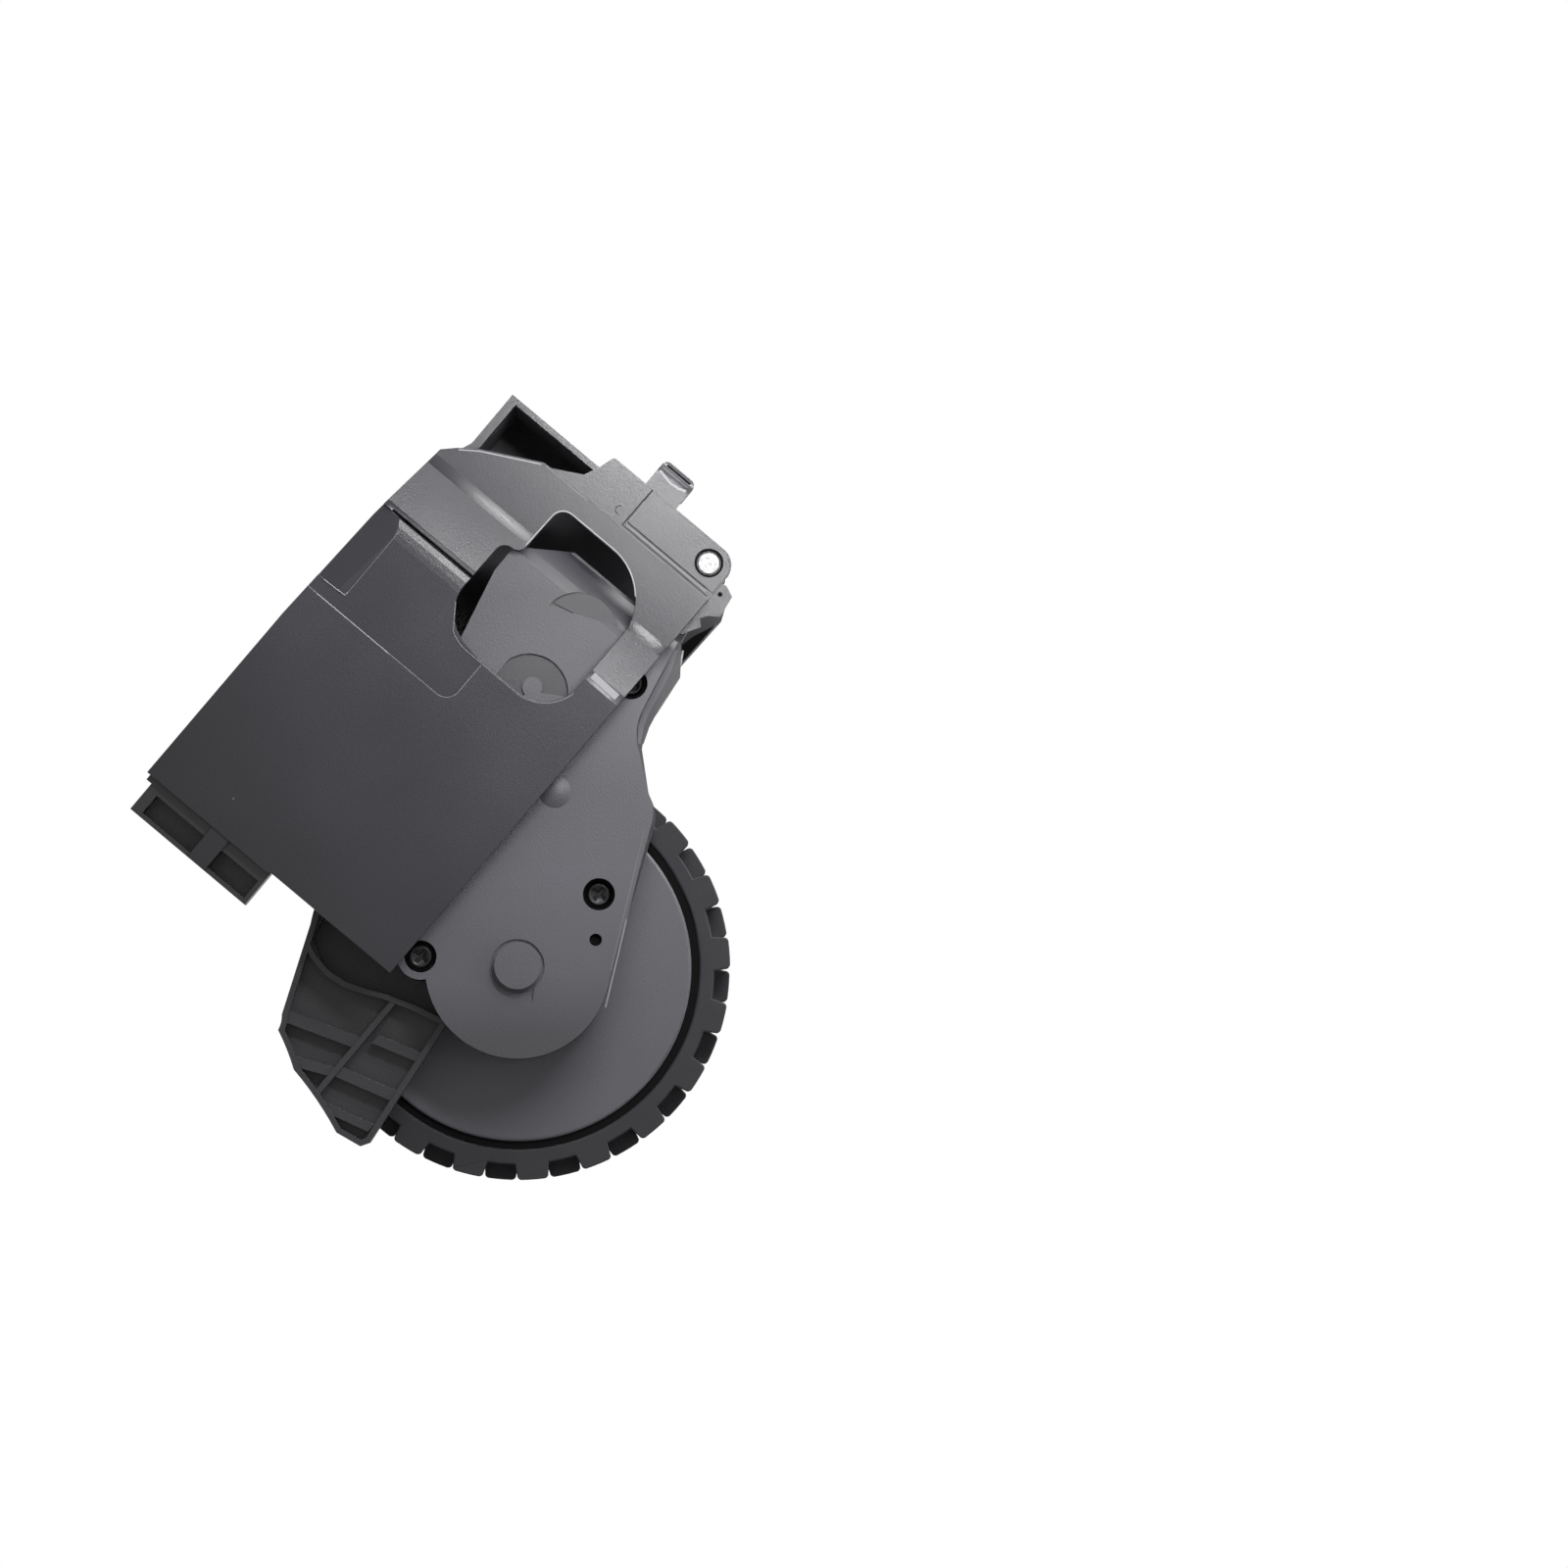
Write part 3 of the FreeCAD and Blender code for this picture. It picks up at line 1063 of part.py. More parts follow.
def involute_gear(teeth, module, wide):
    """A spur gear about +Z, its first tooth centred on +X, with thinned teeth."""
    pitch = module * teeth / 2
    base = pitch * math.cos(math.radians(PRESSURE_ANGLE))
    tip = pitch + 0.9 * module
    root = pitch - 1.15 * module
    angle = math.radians(PRESSURE_ANGLE)
    half_pitch = math.pi / (2 * teeth) - S.backlash.value / 2 / pitch
    at_base = half_pitch + math.tan(angle) - angle
    start = max(base, root + 0.02)
    flank = []
    for i in range(4):
        radius = start + (tip - start) * i / 3
        lean = math.acos(min(1.0, base / radius))
        half = at_base - (math.tan(lean) - lean)
        flank.append((radius, half))
    edges = []

    def point(radius, turn):
        return Vector(radius * math.cos(turn), radius * math.sin(turn), 0)

    for tooth in range(teeth):
        middle = 2 * math.pi * tooth / teeth
        following = 2 * math.pi * (tooth + 1) / teeth
        rise = [point(r, middle - h) for r, h in flank]
        fall = [point(r, middle + h) for r, h in reversed(flank)]
        foot_in = point(root, middle - flank[0][1])
        foot_out = point(root, middle + flank[0][1])
        edges.append(Part.makeLine(foot_in, rise[0]))
        edges.append(spline_edge(rise))
        edges.append(Part.Arc(rise[-1], point(tip, middle), fall[0]).toShape())
        edges.append(spline_edge(fall))
        edges.append(Part.makeLine(fall[-1], foot_out))
        valley = point(root, (middle + following) / 2)
        edges.append(Part.Arc(foot_out, valley, point(root, following - flank[0][1])).toShape())
    return Part.Face(Part.Wire(edges)).extrude(Vector(0, 0, wide))


def spline_edge(points):
    curve = Part.BSplineCurve()
    curve.interpolate(points)
    return curve.toShape()


def stand_on_axle(shape, centre, start, degrees=0.0):
    """Turn a shape made about +Z onto an axle along Y."""
    shape.rotate(Vector(0, 0, 0), Vector(0, 0, 1), degrees)
    shape.rotate(Vector(0, 0, 0), Vector(1, 0, 0), -90)
    shape.translate(Vector(centre[0].value, as_size(start).value, centre[1].value))
    return shape


def gear_piece(name, parts, bore_centre, bore):
    """Gears of one piece, with their bore, as one shape."""
    whole = parts[0].fuse(parts[1:]) if len(parts) > 1 else parts[0]
    hole = Part.makeCylinder(bore, 60, Vector(bore_centre[0].value, -10, bore_centre[1].value),
                             Vector(0, 1, 0))
    piece = doc.addObject("Part::Feature", name)
    piece.Shape = whole.cut(hole).removeSplitter()
    return piece


def round_bar(centre, radius, start, end):
    return Part.makeCylinder(radius, as_size(end).value - as_size(start).value,
                             Vector(centre[0].value, as_size(start).value, centre[1].value),
                             Vector(0, 1, 0))


def bearing_angle(one, other):
    """The direction from one axle to another, as the gears' own turn about +Z sees it."""
    return math.degrees(math.atan2(-(other[1].value - one[1].value), other[0].value - one[0].value))


def mesh_turn(driver_centre, driver_turn, driver_teeth, centre, teeth):
    """The turn that puts a gear in mesh with its driver."""
    towards = bearing_angle(driver_centre, centre)
    phase = (towards - driver_turn) / 360 * driver_teeth
    phase -= math.floor(phase)
    back = towards + 180
    return back + (phase + 0.5) * 360 / teeth


def make_gears():
    wide = S.gear_wide.value
    output_turn = 0.0
    two_turn_small = mesh_turn(AXLE, output_turn, OUTPUT_TEETH, GEAR_TWO, SECOND_SMALL_TEETH)
    one_turn_small = mesh_turn(GEAR_TWO, 0.0, SECOND_BIG_TEETH, GEAR_ONE, FIRST_SMALL_TEETH)
    pinion_turn = mesh_turn(GEAR_ONE, 0.0, FIRST_BIG_TEETH, MOTOR, PINION_TEETH)
    output = gear_piece(
        "OutputGear",
        [stand_on_axle(involute_gear(OUTPUT_TEETH, COARSE_MODULE, wide), AXLE, LAYER_ONE, output_turn)],
        AXLE, S.gear_seat.value)
    keep(output, "output_gear")
    second = gear_piece(
        "SecondGear",
        [stand_on_axle(involute_gear(SECOND_BIG_TEETH, MIDDLE_MODULE, wide), GEAR_TWO, LAYER_TWO),
         stand_on_axle(involute_gear(SECOND_SMALL_TEETH, COARSE_MODULE, wide + 0.6), GEAR_TWO,
                       LAYER_ONE, two_turn_small),
         round_bar(GEAR_TWO, 2.6, LAYER_TWO, LAYER_THREE + S.gear_wide)],
        GEAR_TWO, (S.pin_axle + S.gear_gap).value)
    keep(second, "second_gear")
    first = gear_piece(
        "FirstGear",
        [stand_on_axle(involute_gear(FIRST_BIG_TEETH, FINE_MODULE, wide), GEAR_ONE, LAYER_THREE),
         stand_on_axle(involute_gear(FIRST_SMALL_TEETH, MIDDLE_MODULE, wide + 0.6), GEAR_ONE,
                       LAYER_TWO, one_turn_small),
         round_bar(GEAR_ONE, 2.6, LAYER_ONE, LAYER_TWO + 1)],
        GEAR_ONE, (S.pin_axle + S.gear_gap).value)
    keep(first, "first_gear")
    pinion = gear_piece(
        "MotorPinion",
        [stand_on_axle(involute_gear(PINION_TEETH, FINE_MODULE, wide), MOTOR, LAYER_THREE, pinion_turn)],
        MOTOR, S.shaft_radius.value)
    keep(pinion, "motor_pinion")
    for word, centre in (("first", GEAR_ONE), ("second", GEAR_TWO)):
        axle = rod(word.title() + "Axle", centre, S.pin_axle, S.face_y + 0.8, S.base_y - 0.6)
        keep(gather(word.title() + "AxleNode", [axle]), word + "_gear_axle")


def make_motor():
    can_near = S.base_y
    can_far = can_near + MOTOR_LONG
    cap_far = can_far + S.cap_tall
    board_near = BOARD_NEAR
    radius = S.motor_radius
    can = turned(
        "MotorCan", MOTOR,
        [(S.shaft_radius + 0.1, can_near - 1.2), (3.1, can_near - 1.2), (3.1, can_near),
         (radius - 1.0, can_near), (radius, can_near + 1.0, 1.0, -1), (radius, can_far),
         (S.shaft_radius + 0.1, can_far)],
    )
    holes = []
    for side in (-1, 1):
        spot = motor_screw_spot(side)
        holes.append(rod(f"CanScrewHole{side + 1}", spot, 0.8, can_near - 1, can_near + 2))
    keep(cut("MotorCanBored", can, *holes), "motor_can")
    end_cap = turned(
        "MotorEndCap", MOTOR,
        [(S.shaft_radius + 0.1, can_far), (radius - 0.3, can_far), (radius - 0.3, cap_far - 0.4),
         (radius - 0.7, cap_far), (4.0, cap_far), (4.0, cap_far + 0.6),
         (S.shaft_radius + 0.1, cap_far + 0.6)],
    )
    stands = []
    for side in (-1, 1):
        stands.append(rod(f"BoardStand{side + 1}", (S.motor_x + 8.2 * side, S.motor_z), 1.3,
                          cap_far - 0.5, board_near))
    keep(fuse("EndCapWhole", end_cap, *stands), "motor_end_cap")
    tabs = []
    for side in (-1, 1):
        low = S.motor_z + 7.0 * side
        tabs.append(block(f"Terminal{side + 1}", (S.motor_x - 1.2, S.motor_x + 1.2),
                          (cap_far, cap_far + 2.6), (low - 0.2, low + 0.2)))
    keep(gather("MotorTerminals", tabs), "motor_terminals")
    screws = []
    for side in (-1, 1):
        spot = motor_screw_spot(side)
        screws.append(turned(
            f"MotorScrew{side + 1}", spot,
            [(0, INSIDE_FAR - 0.55), (1.5, INSIDE_FAR - 0.55), (1.5, INSIDE_FAR), (0.8, INSIDE_FAR),
             (0.8, can_near + 1.8), (0, can_near + 1.8)]))
    keep(gather("MotorScrews", screws), "motor_screws")
    board = prism(
        "BoardPlate",
        [(S.motor_x - 10.6, S.motor_z - 5.0), (S.motor_x + 10.6, S.motor_z - 5.0),
         (S.motor_x + 10.6, S.motor_z + 5.0), (S.motor_x + 4.0, S.motor_z + 9.6),
         (S.motor_x - 4.0, S.motor_z + 9.6), (S.motor_x - 10.6, S.motor_z + 5.0)],
        board_near, board_near + S.board_thick)
    board_hole = rod("BoardHole", MOTOR, 1.6, board_near - 1, board_near + 3)
    keep(cut("EncoderBoard", board, board_hole), "encoder_board")
    header = block("HeaderBody", (S.motor_x - 4.0, S.motor_x + 4.0), (board_near - 3.0, board_near),
                   (S.motor_z + 8.4, S.motor_z + 12.6))
    mouth = block("HeaderMouth", (S.motor_x - 3.3, S.motor_x + 3.3), (board_near - 2.4, board_near - 0.6),
                  (S.motor_z + 10.4, S.motor_z + 13))
    keep(cut("BoardConnector", header, mouth), "board_connector")
    shaft = turned(
        "MotorShaft", MOTOR,
        [(0, LAYER_THREE - 0.4), (S.shaft_radius - 0.2, LAYER_THREE - 0.4),
         (S.shaft_radius, LAYER_THREE - 0.2), (S.shaft_radius, cap_far + 2.6), (0, cap_far + 2.6)])
    keep(shaft, "motor_shaft")
    magnet = cut("EncoderMagnet",
                 rod("MagnetDisc", MOTOR, 4.2, cap_far + 1.0, cap_far + 2.6),
                 rod("MagnetBore", MOTOR, S.shaft_radius, cap_far, cap_far + 4))
    keep(magnet, "encoder_magnet")


def make_bearings():
    bush = turned(
        "OutputBush", AXLE,
        [(S.journal + S.gear_gap, S.face_y - 0.8), (S.bush_radius, S.face_y - 0.8),
         (S.bush_radius, INSIDE_NEAR + 0.3), (S.journal + S.gear_gap, INSIDE_NEAR + 0.3)])
    keep(bush, "output_bush")
    near = S.base_y - S.bearing_wide - 0.6
    bearing = turned(
        "OutputBearing", AXLE,
        [(S.axle_radius + S.gear_gap, near), (S.bearing_radius - 0.3, near), (S.bearing_radius, near + 0.3),
         (S.bearing_radius, S.base_y - 0.6), (S.axle_radius + S.gear_gap, S.base_y - 0.6)])
    keep(bearing, "output_bearing")


def make_wheel():
    shaft = turned(
        "OutputShaft", AXLE,
        [(0, S.face_y - 0.5), (S.journal - 0.3, S.face_y - 0.5), (S.journal, S.face_y - 0.2),
         (S.journal, INSIDE_NEAR + 0.6), (S.gear_seat, INSIDE_NEAR + 0.6),
         (S.gear_seat, LAYER_ONE + S.gear_wide), (S.axle_radius, LAYER_ONE + S.gear_wide),
         (S.axle_radius, S.barrel_far), (1.25, S.barrel_far), (1.25, S.barrel_far - 8),
         (0, S.barrel_far - 8)])
    keep(shaft, "output_shaft")
    disc_far = S.hub_near + S.hub_disc
    lip = S.hub_radius
    seat = S.rim_radius
    dish = turned(
        "HubDish", AXLE,
        [(S.axle_radius, S.hub_near), (lip - 0.5, S.hub_near), (lip, S.hub_near + 0.5, 0.5, -1),
         (lip, disc_far), (seat, disc_far), (seat, S.wheel_far - 1.4), (lip, S.wheel_far - 1.4),
         (lip, S.wheel_far), (seat - S.rim_wall, S.wheel_far), (seat - S.rim_wall, disc_far),
         (S.barrel_radius, disc_far), (S.barrel_radius, S.barrel_far), (S.axle_radius, S.barrel_far)])
    ribs = []
    for i in range(SPOKES):
        rib = doc.addObject("Part::Box", f"Spoke{i}")
        link(rib, "Length", seat - S.rim_wall / 2 - S.barrel_radius + 0.5)
        link(rib, "Width", S.barrel_far - disc_far - 2)
        rib.Height = 1.6
        turn = FreeCAD.Rotation(Vector(0, 1, 0), 360 / SPOKES * i)
        start = turn.multVec(Vector(S.barrel_radius.value - 0.5, 0, -0.8))
        rib.Placement = FreeCAD.Placement(Vector(start.x, disc_far.value - 0.2, start.z), turn)
        ribs.append(rib)
    keep(fuse("WheelHub", dish, *ribs), "wheel_hub")
    far = S.barrel_far
    washer = cut("HubWasher", rod("WasherDisc", AXLE, 5.4, far, far + 0.9),
                 rod("WasherHole", AXLE, 1.4, far - 1, far + 2))
    keep(washer, "hub_washer")
    screw = turned(
        "HubScrew", AXLE,
        [(0, far - 7.4), (1.25, far - 7.0), (1.25, far + 0.9), (3.0, far + 0.9), (3.0, far + 2.2),
         (2.3, far + 2.9, 0.8, -1), (1.3, far + 2.9), (1.3, far + 1.6), (0, far + 1.6)])
    keep(screw, "hub_screw")


def make_tyre():
    """A carcass turned about the axle, with two staggered rows of lugs."""
    body = doc.addObject("PartDesign::Body", "Tyre")
    planes = {feature.Role: feature for feature in body.Origin.OriginFeatures}
    profile = body.newObject("Sketcher::SketchObject", "TyreProfile")
    profile.AttachmentSupport = [(planes["XY_Plane"], "")]
    profile.MapMode = "FlatFace"
    near_seat = S.hub_near + S.hub_disc
    far_seat = S.wheel_far - 1.4
    add_outline(profile, [
        (S.rim_radius, near_seat), (S.tyre_lip, near_seat), (S.tyre_lip, S.tyre_near + 0.3),
        (S.tyre_lip + 0.3, S.tyre_near), (S.tyre_body, S.tyre_near), (S.tyre_body, S.tyre_far),
        (S.tyre_lip + 0.3, S.tyre_far), (S.tyre_lip, S.tyre_far - 0.3), (S.tyre_lip, far_seat),
        (S.rim_radius, far_seat)])
    carcass = body.newObject("PartDesign::Revolution", "TyreCarcass")
    carcass.Profile = profile
    carcass.ReferenceAxis = (profile, ["V_Axis"])
    carcass.Angle = 360
    doc.recompute()
    middle = (S.tyre_near + S.tyre_far) / 2
    rows = [("Near", S.tyre_near, middle - S.lug_gap / 2, FIRST_LUG),
            ("Far", middle + S.lug_gap / 2, S.tyre_far, FIRST_LUG + 180.0 / LUGS_IN_A_ROW)]
    half = S.lug_wide / 2
    for word, start, end, turn in rows:
        lug_sketch = body.newObject("Sketcher::SketchObject", "Lug" + word)
        lug_sketch.AttachmentSupport = [(planes["XZ_Plane"], "")]
        lug_sketch.MapMode = "FlatFace"
        lug_sketch.AttachmentOffset = FreeCAD.Placement(
            Vector(0, 0, -start.value), FreeCAD.Rotation(Vector(0, 0, 1), turn - 90))
        link(lug_sketch, "AttachmentOffset.Base.z", -start)
        add_outline(lug_sketch, [
            (S.tyre_body - 0.6, -half - 0.3), (S.tyre_radius - 0.7, -half),
            (S.tyre_radius - 0.2, -half + 0.6, 0.8, -1),
            (S.tyre_radius - 0.2, half - 0.6, S.tyre_radius, -1),
            (S.tyre_radius - 0.7, half, 0.8, -1), (S.tyre_body - 0.6, half + 0.3)])
        lug = body.newObject("PartDesign::Pad", "LugPad" + word)
        lug.Profile = lug_sketch
        link(lug, "Length", as_size(end) - start)
        lug.Reversed = True
        doc.recompute()
        ring = body.newObject("PartDesign::PolarPattern", "LugRing" + word)
        ring.Originals = [lug]
        ring.Axis = (profile, ["V_Axis"])
        ring.Angle = 360
        ring.Occurrences = LUGS_IN_A_ROW
        body.Tip = ring
        doc.recompute()
    keep(body, "tyre")


make_frame_shell()
make_inner_cover()
make_outer_cover()
make_pivot()
make_return_spring()
make_gearbox_base()
make_gearbox_cover()
make_gearbox_screws()
make_gears()
make_motor()
make_bearings()
make_wheel()
make_tyre()
doc.recompute()

for thing in doc.Objects:
    if "Invalid" in thing.State or "Error" in thing.State:
        raise RuntimeError(f"{thing.Label} failed: {thing.State}")
for thing in nodes:
    if thing.Shape.isNull() or not thing.Shape.isValid():
        raise RuntimeError(f"{thing.Label} has no valid shape")
    if not thing.Shape.Solids:
        raise RuntimeError(f"{thing.Label} has no solid")
for thing in nodes:
    box = thing.Shape.BoundBox
    print(f"{thing.Label:20s} solids {len(thing.Shape.Solids)} volume {thing.Shape.Volume:9.1f} "
          f"x {box.XMin:.1f} {box.XMax:.1f} y {box.YMin:.1f} {box.YMax:.1f} z {box.ZMin:.1f} {box.ZMax:.1f}")
    thing.Shape.exportStep(f"parts/{thing.Label}.step")
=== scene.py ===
import json
import math

import bmesh
import bpy
from mathutils import Matrix, Vector


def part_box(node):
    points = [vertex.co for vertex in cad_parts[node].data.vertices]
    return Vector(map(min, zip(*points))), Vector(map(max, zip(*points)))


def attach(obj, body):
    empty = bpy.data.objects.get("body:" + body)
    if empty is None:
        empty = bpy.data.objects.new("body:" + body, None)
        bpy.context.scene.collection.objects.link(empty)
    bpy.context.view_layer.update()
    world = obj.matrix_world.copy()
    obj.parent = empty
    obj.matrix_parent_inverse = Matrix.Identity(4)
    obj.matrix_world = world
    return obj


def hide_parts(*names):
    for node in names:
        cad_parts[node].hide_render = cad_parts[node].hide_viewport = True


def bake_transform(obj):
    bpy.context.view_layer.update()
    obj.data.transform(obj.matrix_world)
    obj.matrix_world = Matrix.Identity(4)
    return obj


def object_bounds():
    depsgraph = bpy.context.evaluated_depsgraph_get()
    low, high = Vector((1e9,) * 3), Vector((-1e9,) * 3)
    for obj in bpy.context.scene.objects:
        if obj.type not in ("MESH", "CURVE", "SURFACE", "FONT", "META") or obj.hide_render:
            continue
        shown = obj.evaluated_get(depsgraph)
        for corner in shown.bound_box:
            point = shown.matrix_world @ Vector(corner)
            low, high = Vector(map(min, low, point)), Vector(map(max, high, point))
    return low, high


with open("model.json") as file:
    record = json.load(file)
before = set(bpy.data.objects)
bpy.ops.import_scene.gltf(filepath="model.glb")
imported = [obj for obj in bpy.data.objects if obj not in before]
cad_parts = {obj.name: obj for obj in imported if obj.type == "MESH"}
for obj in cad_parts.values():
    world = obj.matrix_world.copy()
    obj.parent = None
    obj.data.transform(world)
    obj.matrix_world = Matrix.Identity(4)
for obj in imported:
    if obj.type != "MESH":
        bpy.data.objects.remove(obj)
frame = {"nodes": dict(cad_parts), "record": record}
cad_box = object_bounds()

MM = 0.001
PHOTO_SIDE = 1600

# camera: where the wheel's axle shows, and how the module lies in the photograph
AXLE_PIXEL = (528.0, 985.5)
PIXELS_PER_MM = 6.1
ROLL = math.radians(50)
LOOK_RIGHT = 0.0161
LOOK_UP = 0.0312
CAMERA_DISTANCE = 2.0
SENSOR = 36.0

FLOOR_DROP = 0.45
FLOOR_SIZE = 3.2
FLOOR_COLOUR = (0.93, 0.93, 0.93)
FLOOR_GLOW = 0.5
WORLD_LIGHT = 0.2
WORLD_SEEN = 1.0
POOL_POWER = 0.28
KEY_POWER = 2.5
EDGE_POWER = 6.0
RIM_POWER = 0.7
BACK_POWER = 7.0

axle_low, axle_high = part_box("output_shaft")
cover_low, cover_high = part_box("inner_cover")
pivot_low, pivot_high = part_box("pivot_pin")
AXLE = (axle_low + axle_high) / 2
PIVOT = (pivot_low + pivot_high) / 2
FACE_Y = cover_low.y

IMAGE_RIGHT = Vector((math.cos(ROLL), 0, -math.sin(ROLL)))
IMAGE_UP = Vector((math.sin(ROLL), 0, math.cos(ROLL)))
TO_CAMERA = Vector((0, -1, 0))


def from_object(right, up, near):
    """A point given in metres from the cover's middle, along the photograph's own directions."""
    middle = (cover_low + cover_high) / 2
    return middle + IMAGE_RIGHT * right + IMAGE_UP * up + TO_CAMERA * near


def at(x, y, z):
    """A point in millimetres right of the axle, behind the cover's face and above the axle."""
    return Vector((AXLE.x + x * MM, FACE_Y + y * MM, AXLE.z + z * MM))


# nodes of a material

def new_material(name):
    material = bpy.data.materials.new(name)
    material.use_nodes = True
    material.node_tree.nodes.clear()
    return material


def node(material, kind, **settings):
    made = material.node_tree.nodes.new(kind)
    for key, value in settings.items():
        setattr(made, key, value)
    return made


def join(material, source, output, target, socket):
    material.node_tree.links.new(source.outputs[output], target.inputs[socket])


def noise(material, scale, detail=3.0, stretch=(1, 1, 1)):
    """Noise in the object's own metres, its cells drawn out by stretch."""
    place = node(material, "ShaderNodeTexCoord")
    mapping = node(material, "ShaderNodeMapping")
    mapping.inputs["Scale"].default_value = stretch
    pattern = node(material, "ShaderNodeTexNoise")
    pattern.inputs["Scale"].default_value = scale
    pattern.inputs["Detail"].default_value = detail
    join(material, place, "Object", mapping, "Vector")
    join(material, mapping, "Vector", pattern, "Vector")
    return pattern


# the part of a noise pattern's range that holds nearly all of it
PATTERN_LOW = 0.2
PATTERN_HIGH = 0.8


def spread(material, source, output, low, high):
    """Map a pattern's usual range onto low to high."""
    ranged = node(material, "ShaderNodeMapRange")
    ranged.inputs["From Min"].default_value = PATTERN_LOW
    ranged.inputs["From Max"].default_value = PATTERN_HIGH
    ranged.inputs["To Min"].default_value = low
    ranged.inputs["To Max"].default_value = high
    join(material, source, output, ranged, "Value")
    return ranged


def tint(material, source, output, colour, amount):
    """The colour, darker and lighter by amount as the pattern goes."""
    ramp = node(material, "ShaderNodeValToRGB")
    dark, light = ramp.color_ramp.elements
    dark.position = PATTERN_LOW
    light.position = PATTERN_HIGH
    dark.color = [c * (1 - amount) for c in colour] + [1]
    light.color = [min(1, c * (1 + amount)) for c in colour] + [1]
    join(material, source, output, ramp, "Fac")
    return ramp


def principled_of(material):
    return next(n for n in material.node_tree.nodes if n.type == "BSDF_PRINCIPLED")


def shader(material, colour_from, roughness_from, metallic=0.0, specular=0.5):
    principled = node(material, "ShaderNodeBsdfPrincipled")
    principled.inputs["Metallic"].default_value = metallic
    principled.inputs["Specular IOR Level"].default_value = specular
    join(material, colour_from, "Color", principled, "Base Color")
    join(material, roughness_from, "Result", principled, "Roughness")
    output = node(material, "ShaderNodeOutputMaterial")
    join(material, principled, "BSDF", output, "Surface")
    return principled


def add_bump(material, principled, source, output, depth):
    bump = node(material, "ShaderNodeBump")
    bump.inputs["Distance"].default_value = depth
    bump.inputs["Strength"].default_value = 1.0
    join(material, source, output, bump, "Height")
    join(material, bump, "Normal", principled, "Normal")


def plastic(name, colour, rough, grain=3200, depth=0.00002, cloud=0.08, specular=0.5):
    """Moulded plastic: a fine spark-eroded grain with slow changes of shade and gloss."""
    material = new_material(name)
    clouds = noise(material, 38, 2)
    fine = noise(material, grain, 2)
    principled = shader(
        material,
        tint(material, clouds, "Fac", colour, cloud),
        spread(material, clouds, "Fac", rough - 0.05, rough + 0.06),
        specular=specular,
    )
    add_bump(material, principled, fine, "Fac", depth)
    return material


# depths in metres between which the frame is rough, how fast that sets in, and how rough it is
INSIDE_STARTS = 0.0045
INSIDE_ENDS = 0.0372
INSIDE_FADE = 0.0005
INSIDE_ROUGHNESS = 0.85


def rough_inside(material):
    """Leave the frame's inner walls rough and dull, as the mould's core does."""
    principled = principled_of(material)
    smooth = principled.inputs["Roughness"].links[0].from_node
    place = node(material, "ShaderNodeTexCoord")
    split = node(material, "ShaderNodeSeparateXYZ")
    join(material, place, "Object", split, "Vector")
    past = node(material, "ShaderNodeMapRange")
    past.inputs["From Min"].default_value = INSIDE_STARTS
    past.inputs["From Max"].default_value = INSIDE_STARTS + INSIDE_FADE
    join(material, split, "Y", past, "Value")
    before = node(material, "ShaderNodeMapRange")
    before.inputs["From Min"].default_value = INSIDE_ENDS + INSIDE_FADE
    before.inputs["From Max"].default_value = INSIDE_ENDS
    join(material, split, "Y", before, "Value")
    both = node(material, "ShaderNodeMath", operation="MULTIPLY")
    join(material, past, "Result", both, 0)
    join(material, before, "Result", both, 1)
    rougher = node(material, "ShaderNodeMapRange")
    rougher.inputs["To Max"].default_value = INSIDE_ROUGHNESS
    join(material, both, 0, rougher, "Value")
    join(material, smooth, "Result", rougher, "To Min")
    join(material, rougher, "Result", principled, "Roughness")


SPECK_SCALE = 70
SPECK_INNER = 0.010
SPECK_OUTER = 0.016
SPECK_SHADE = (0.4, 0.4, 0.4, 1)


def speckled(material):
    """A few pale specks of dust, each less than half a millimetre across."""
    principled = principled_of(material)
    under = principled.inputs["Base Color"].links[0].from_node
    place = node(material, "ShaderNodeTexCoord")
    cells = node(material, "ShaderNodeTexVoronoi")
    cells.inputs["Scale"].default_value = SPECK_SCALE
    join(material, place, "Object", cells, "Vector")
    near = node(material, "ShaderNodeMapRange")
    near.inputs["From Min"].default_value = SPECK_INNER
    near.inputs["From Max"].default_value = SPECK_OUTER
    near.inputs["To Min"].default_value = 0.3
    near.inputs["To Max"].default_value = 0.0
    join(material, cells, "Distance", near, "Value")
    mix = node(material, "ShaderNodeMixRGB")
    mix.inputs["Color2"].default_value = SPECK_SHADE
    join(material, near, "Result", mix, "Fac")
    join(material, under, "Color", mix, "Color1")
    join(material, mix, "Color", principled, "Base Color")


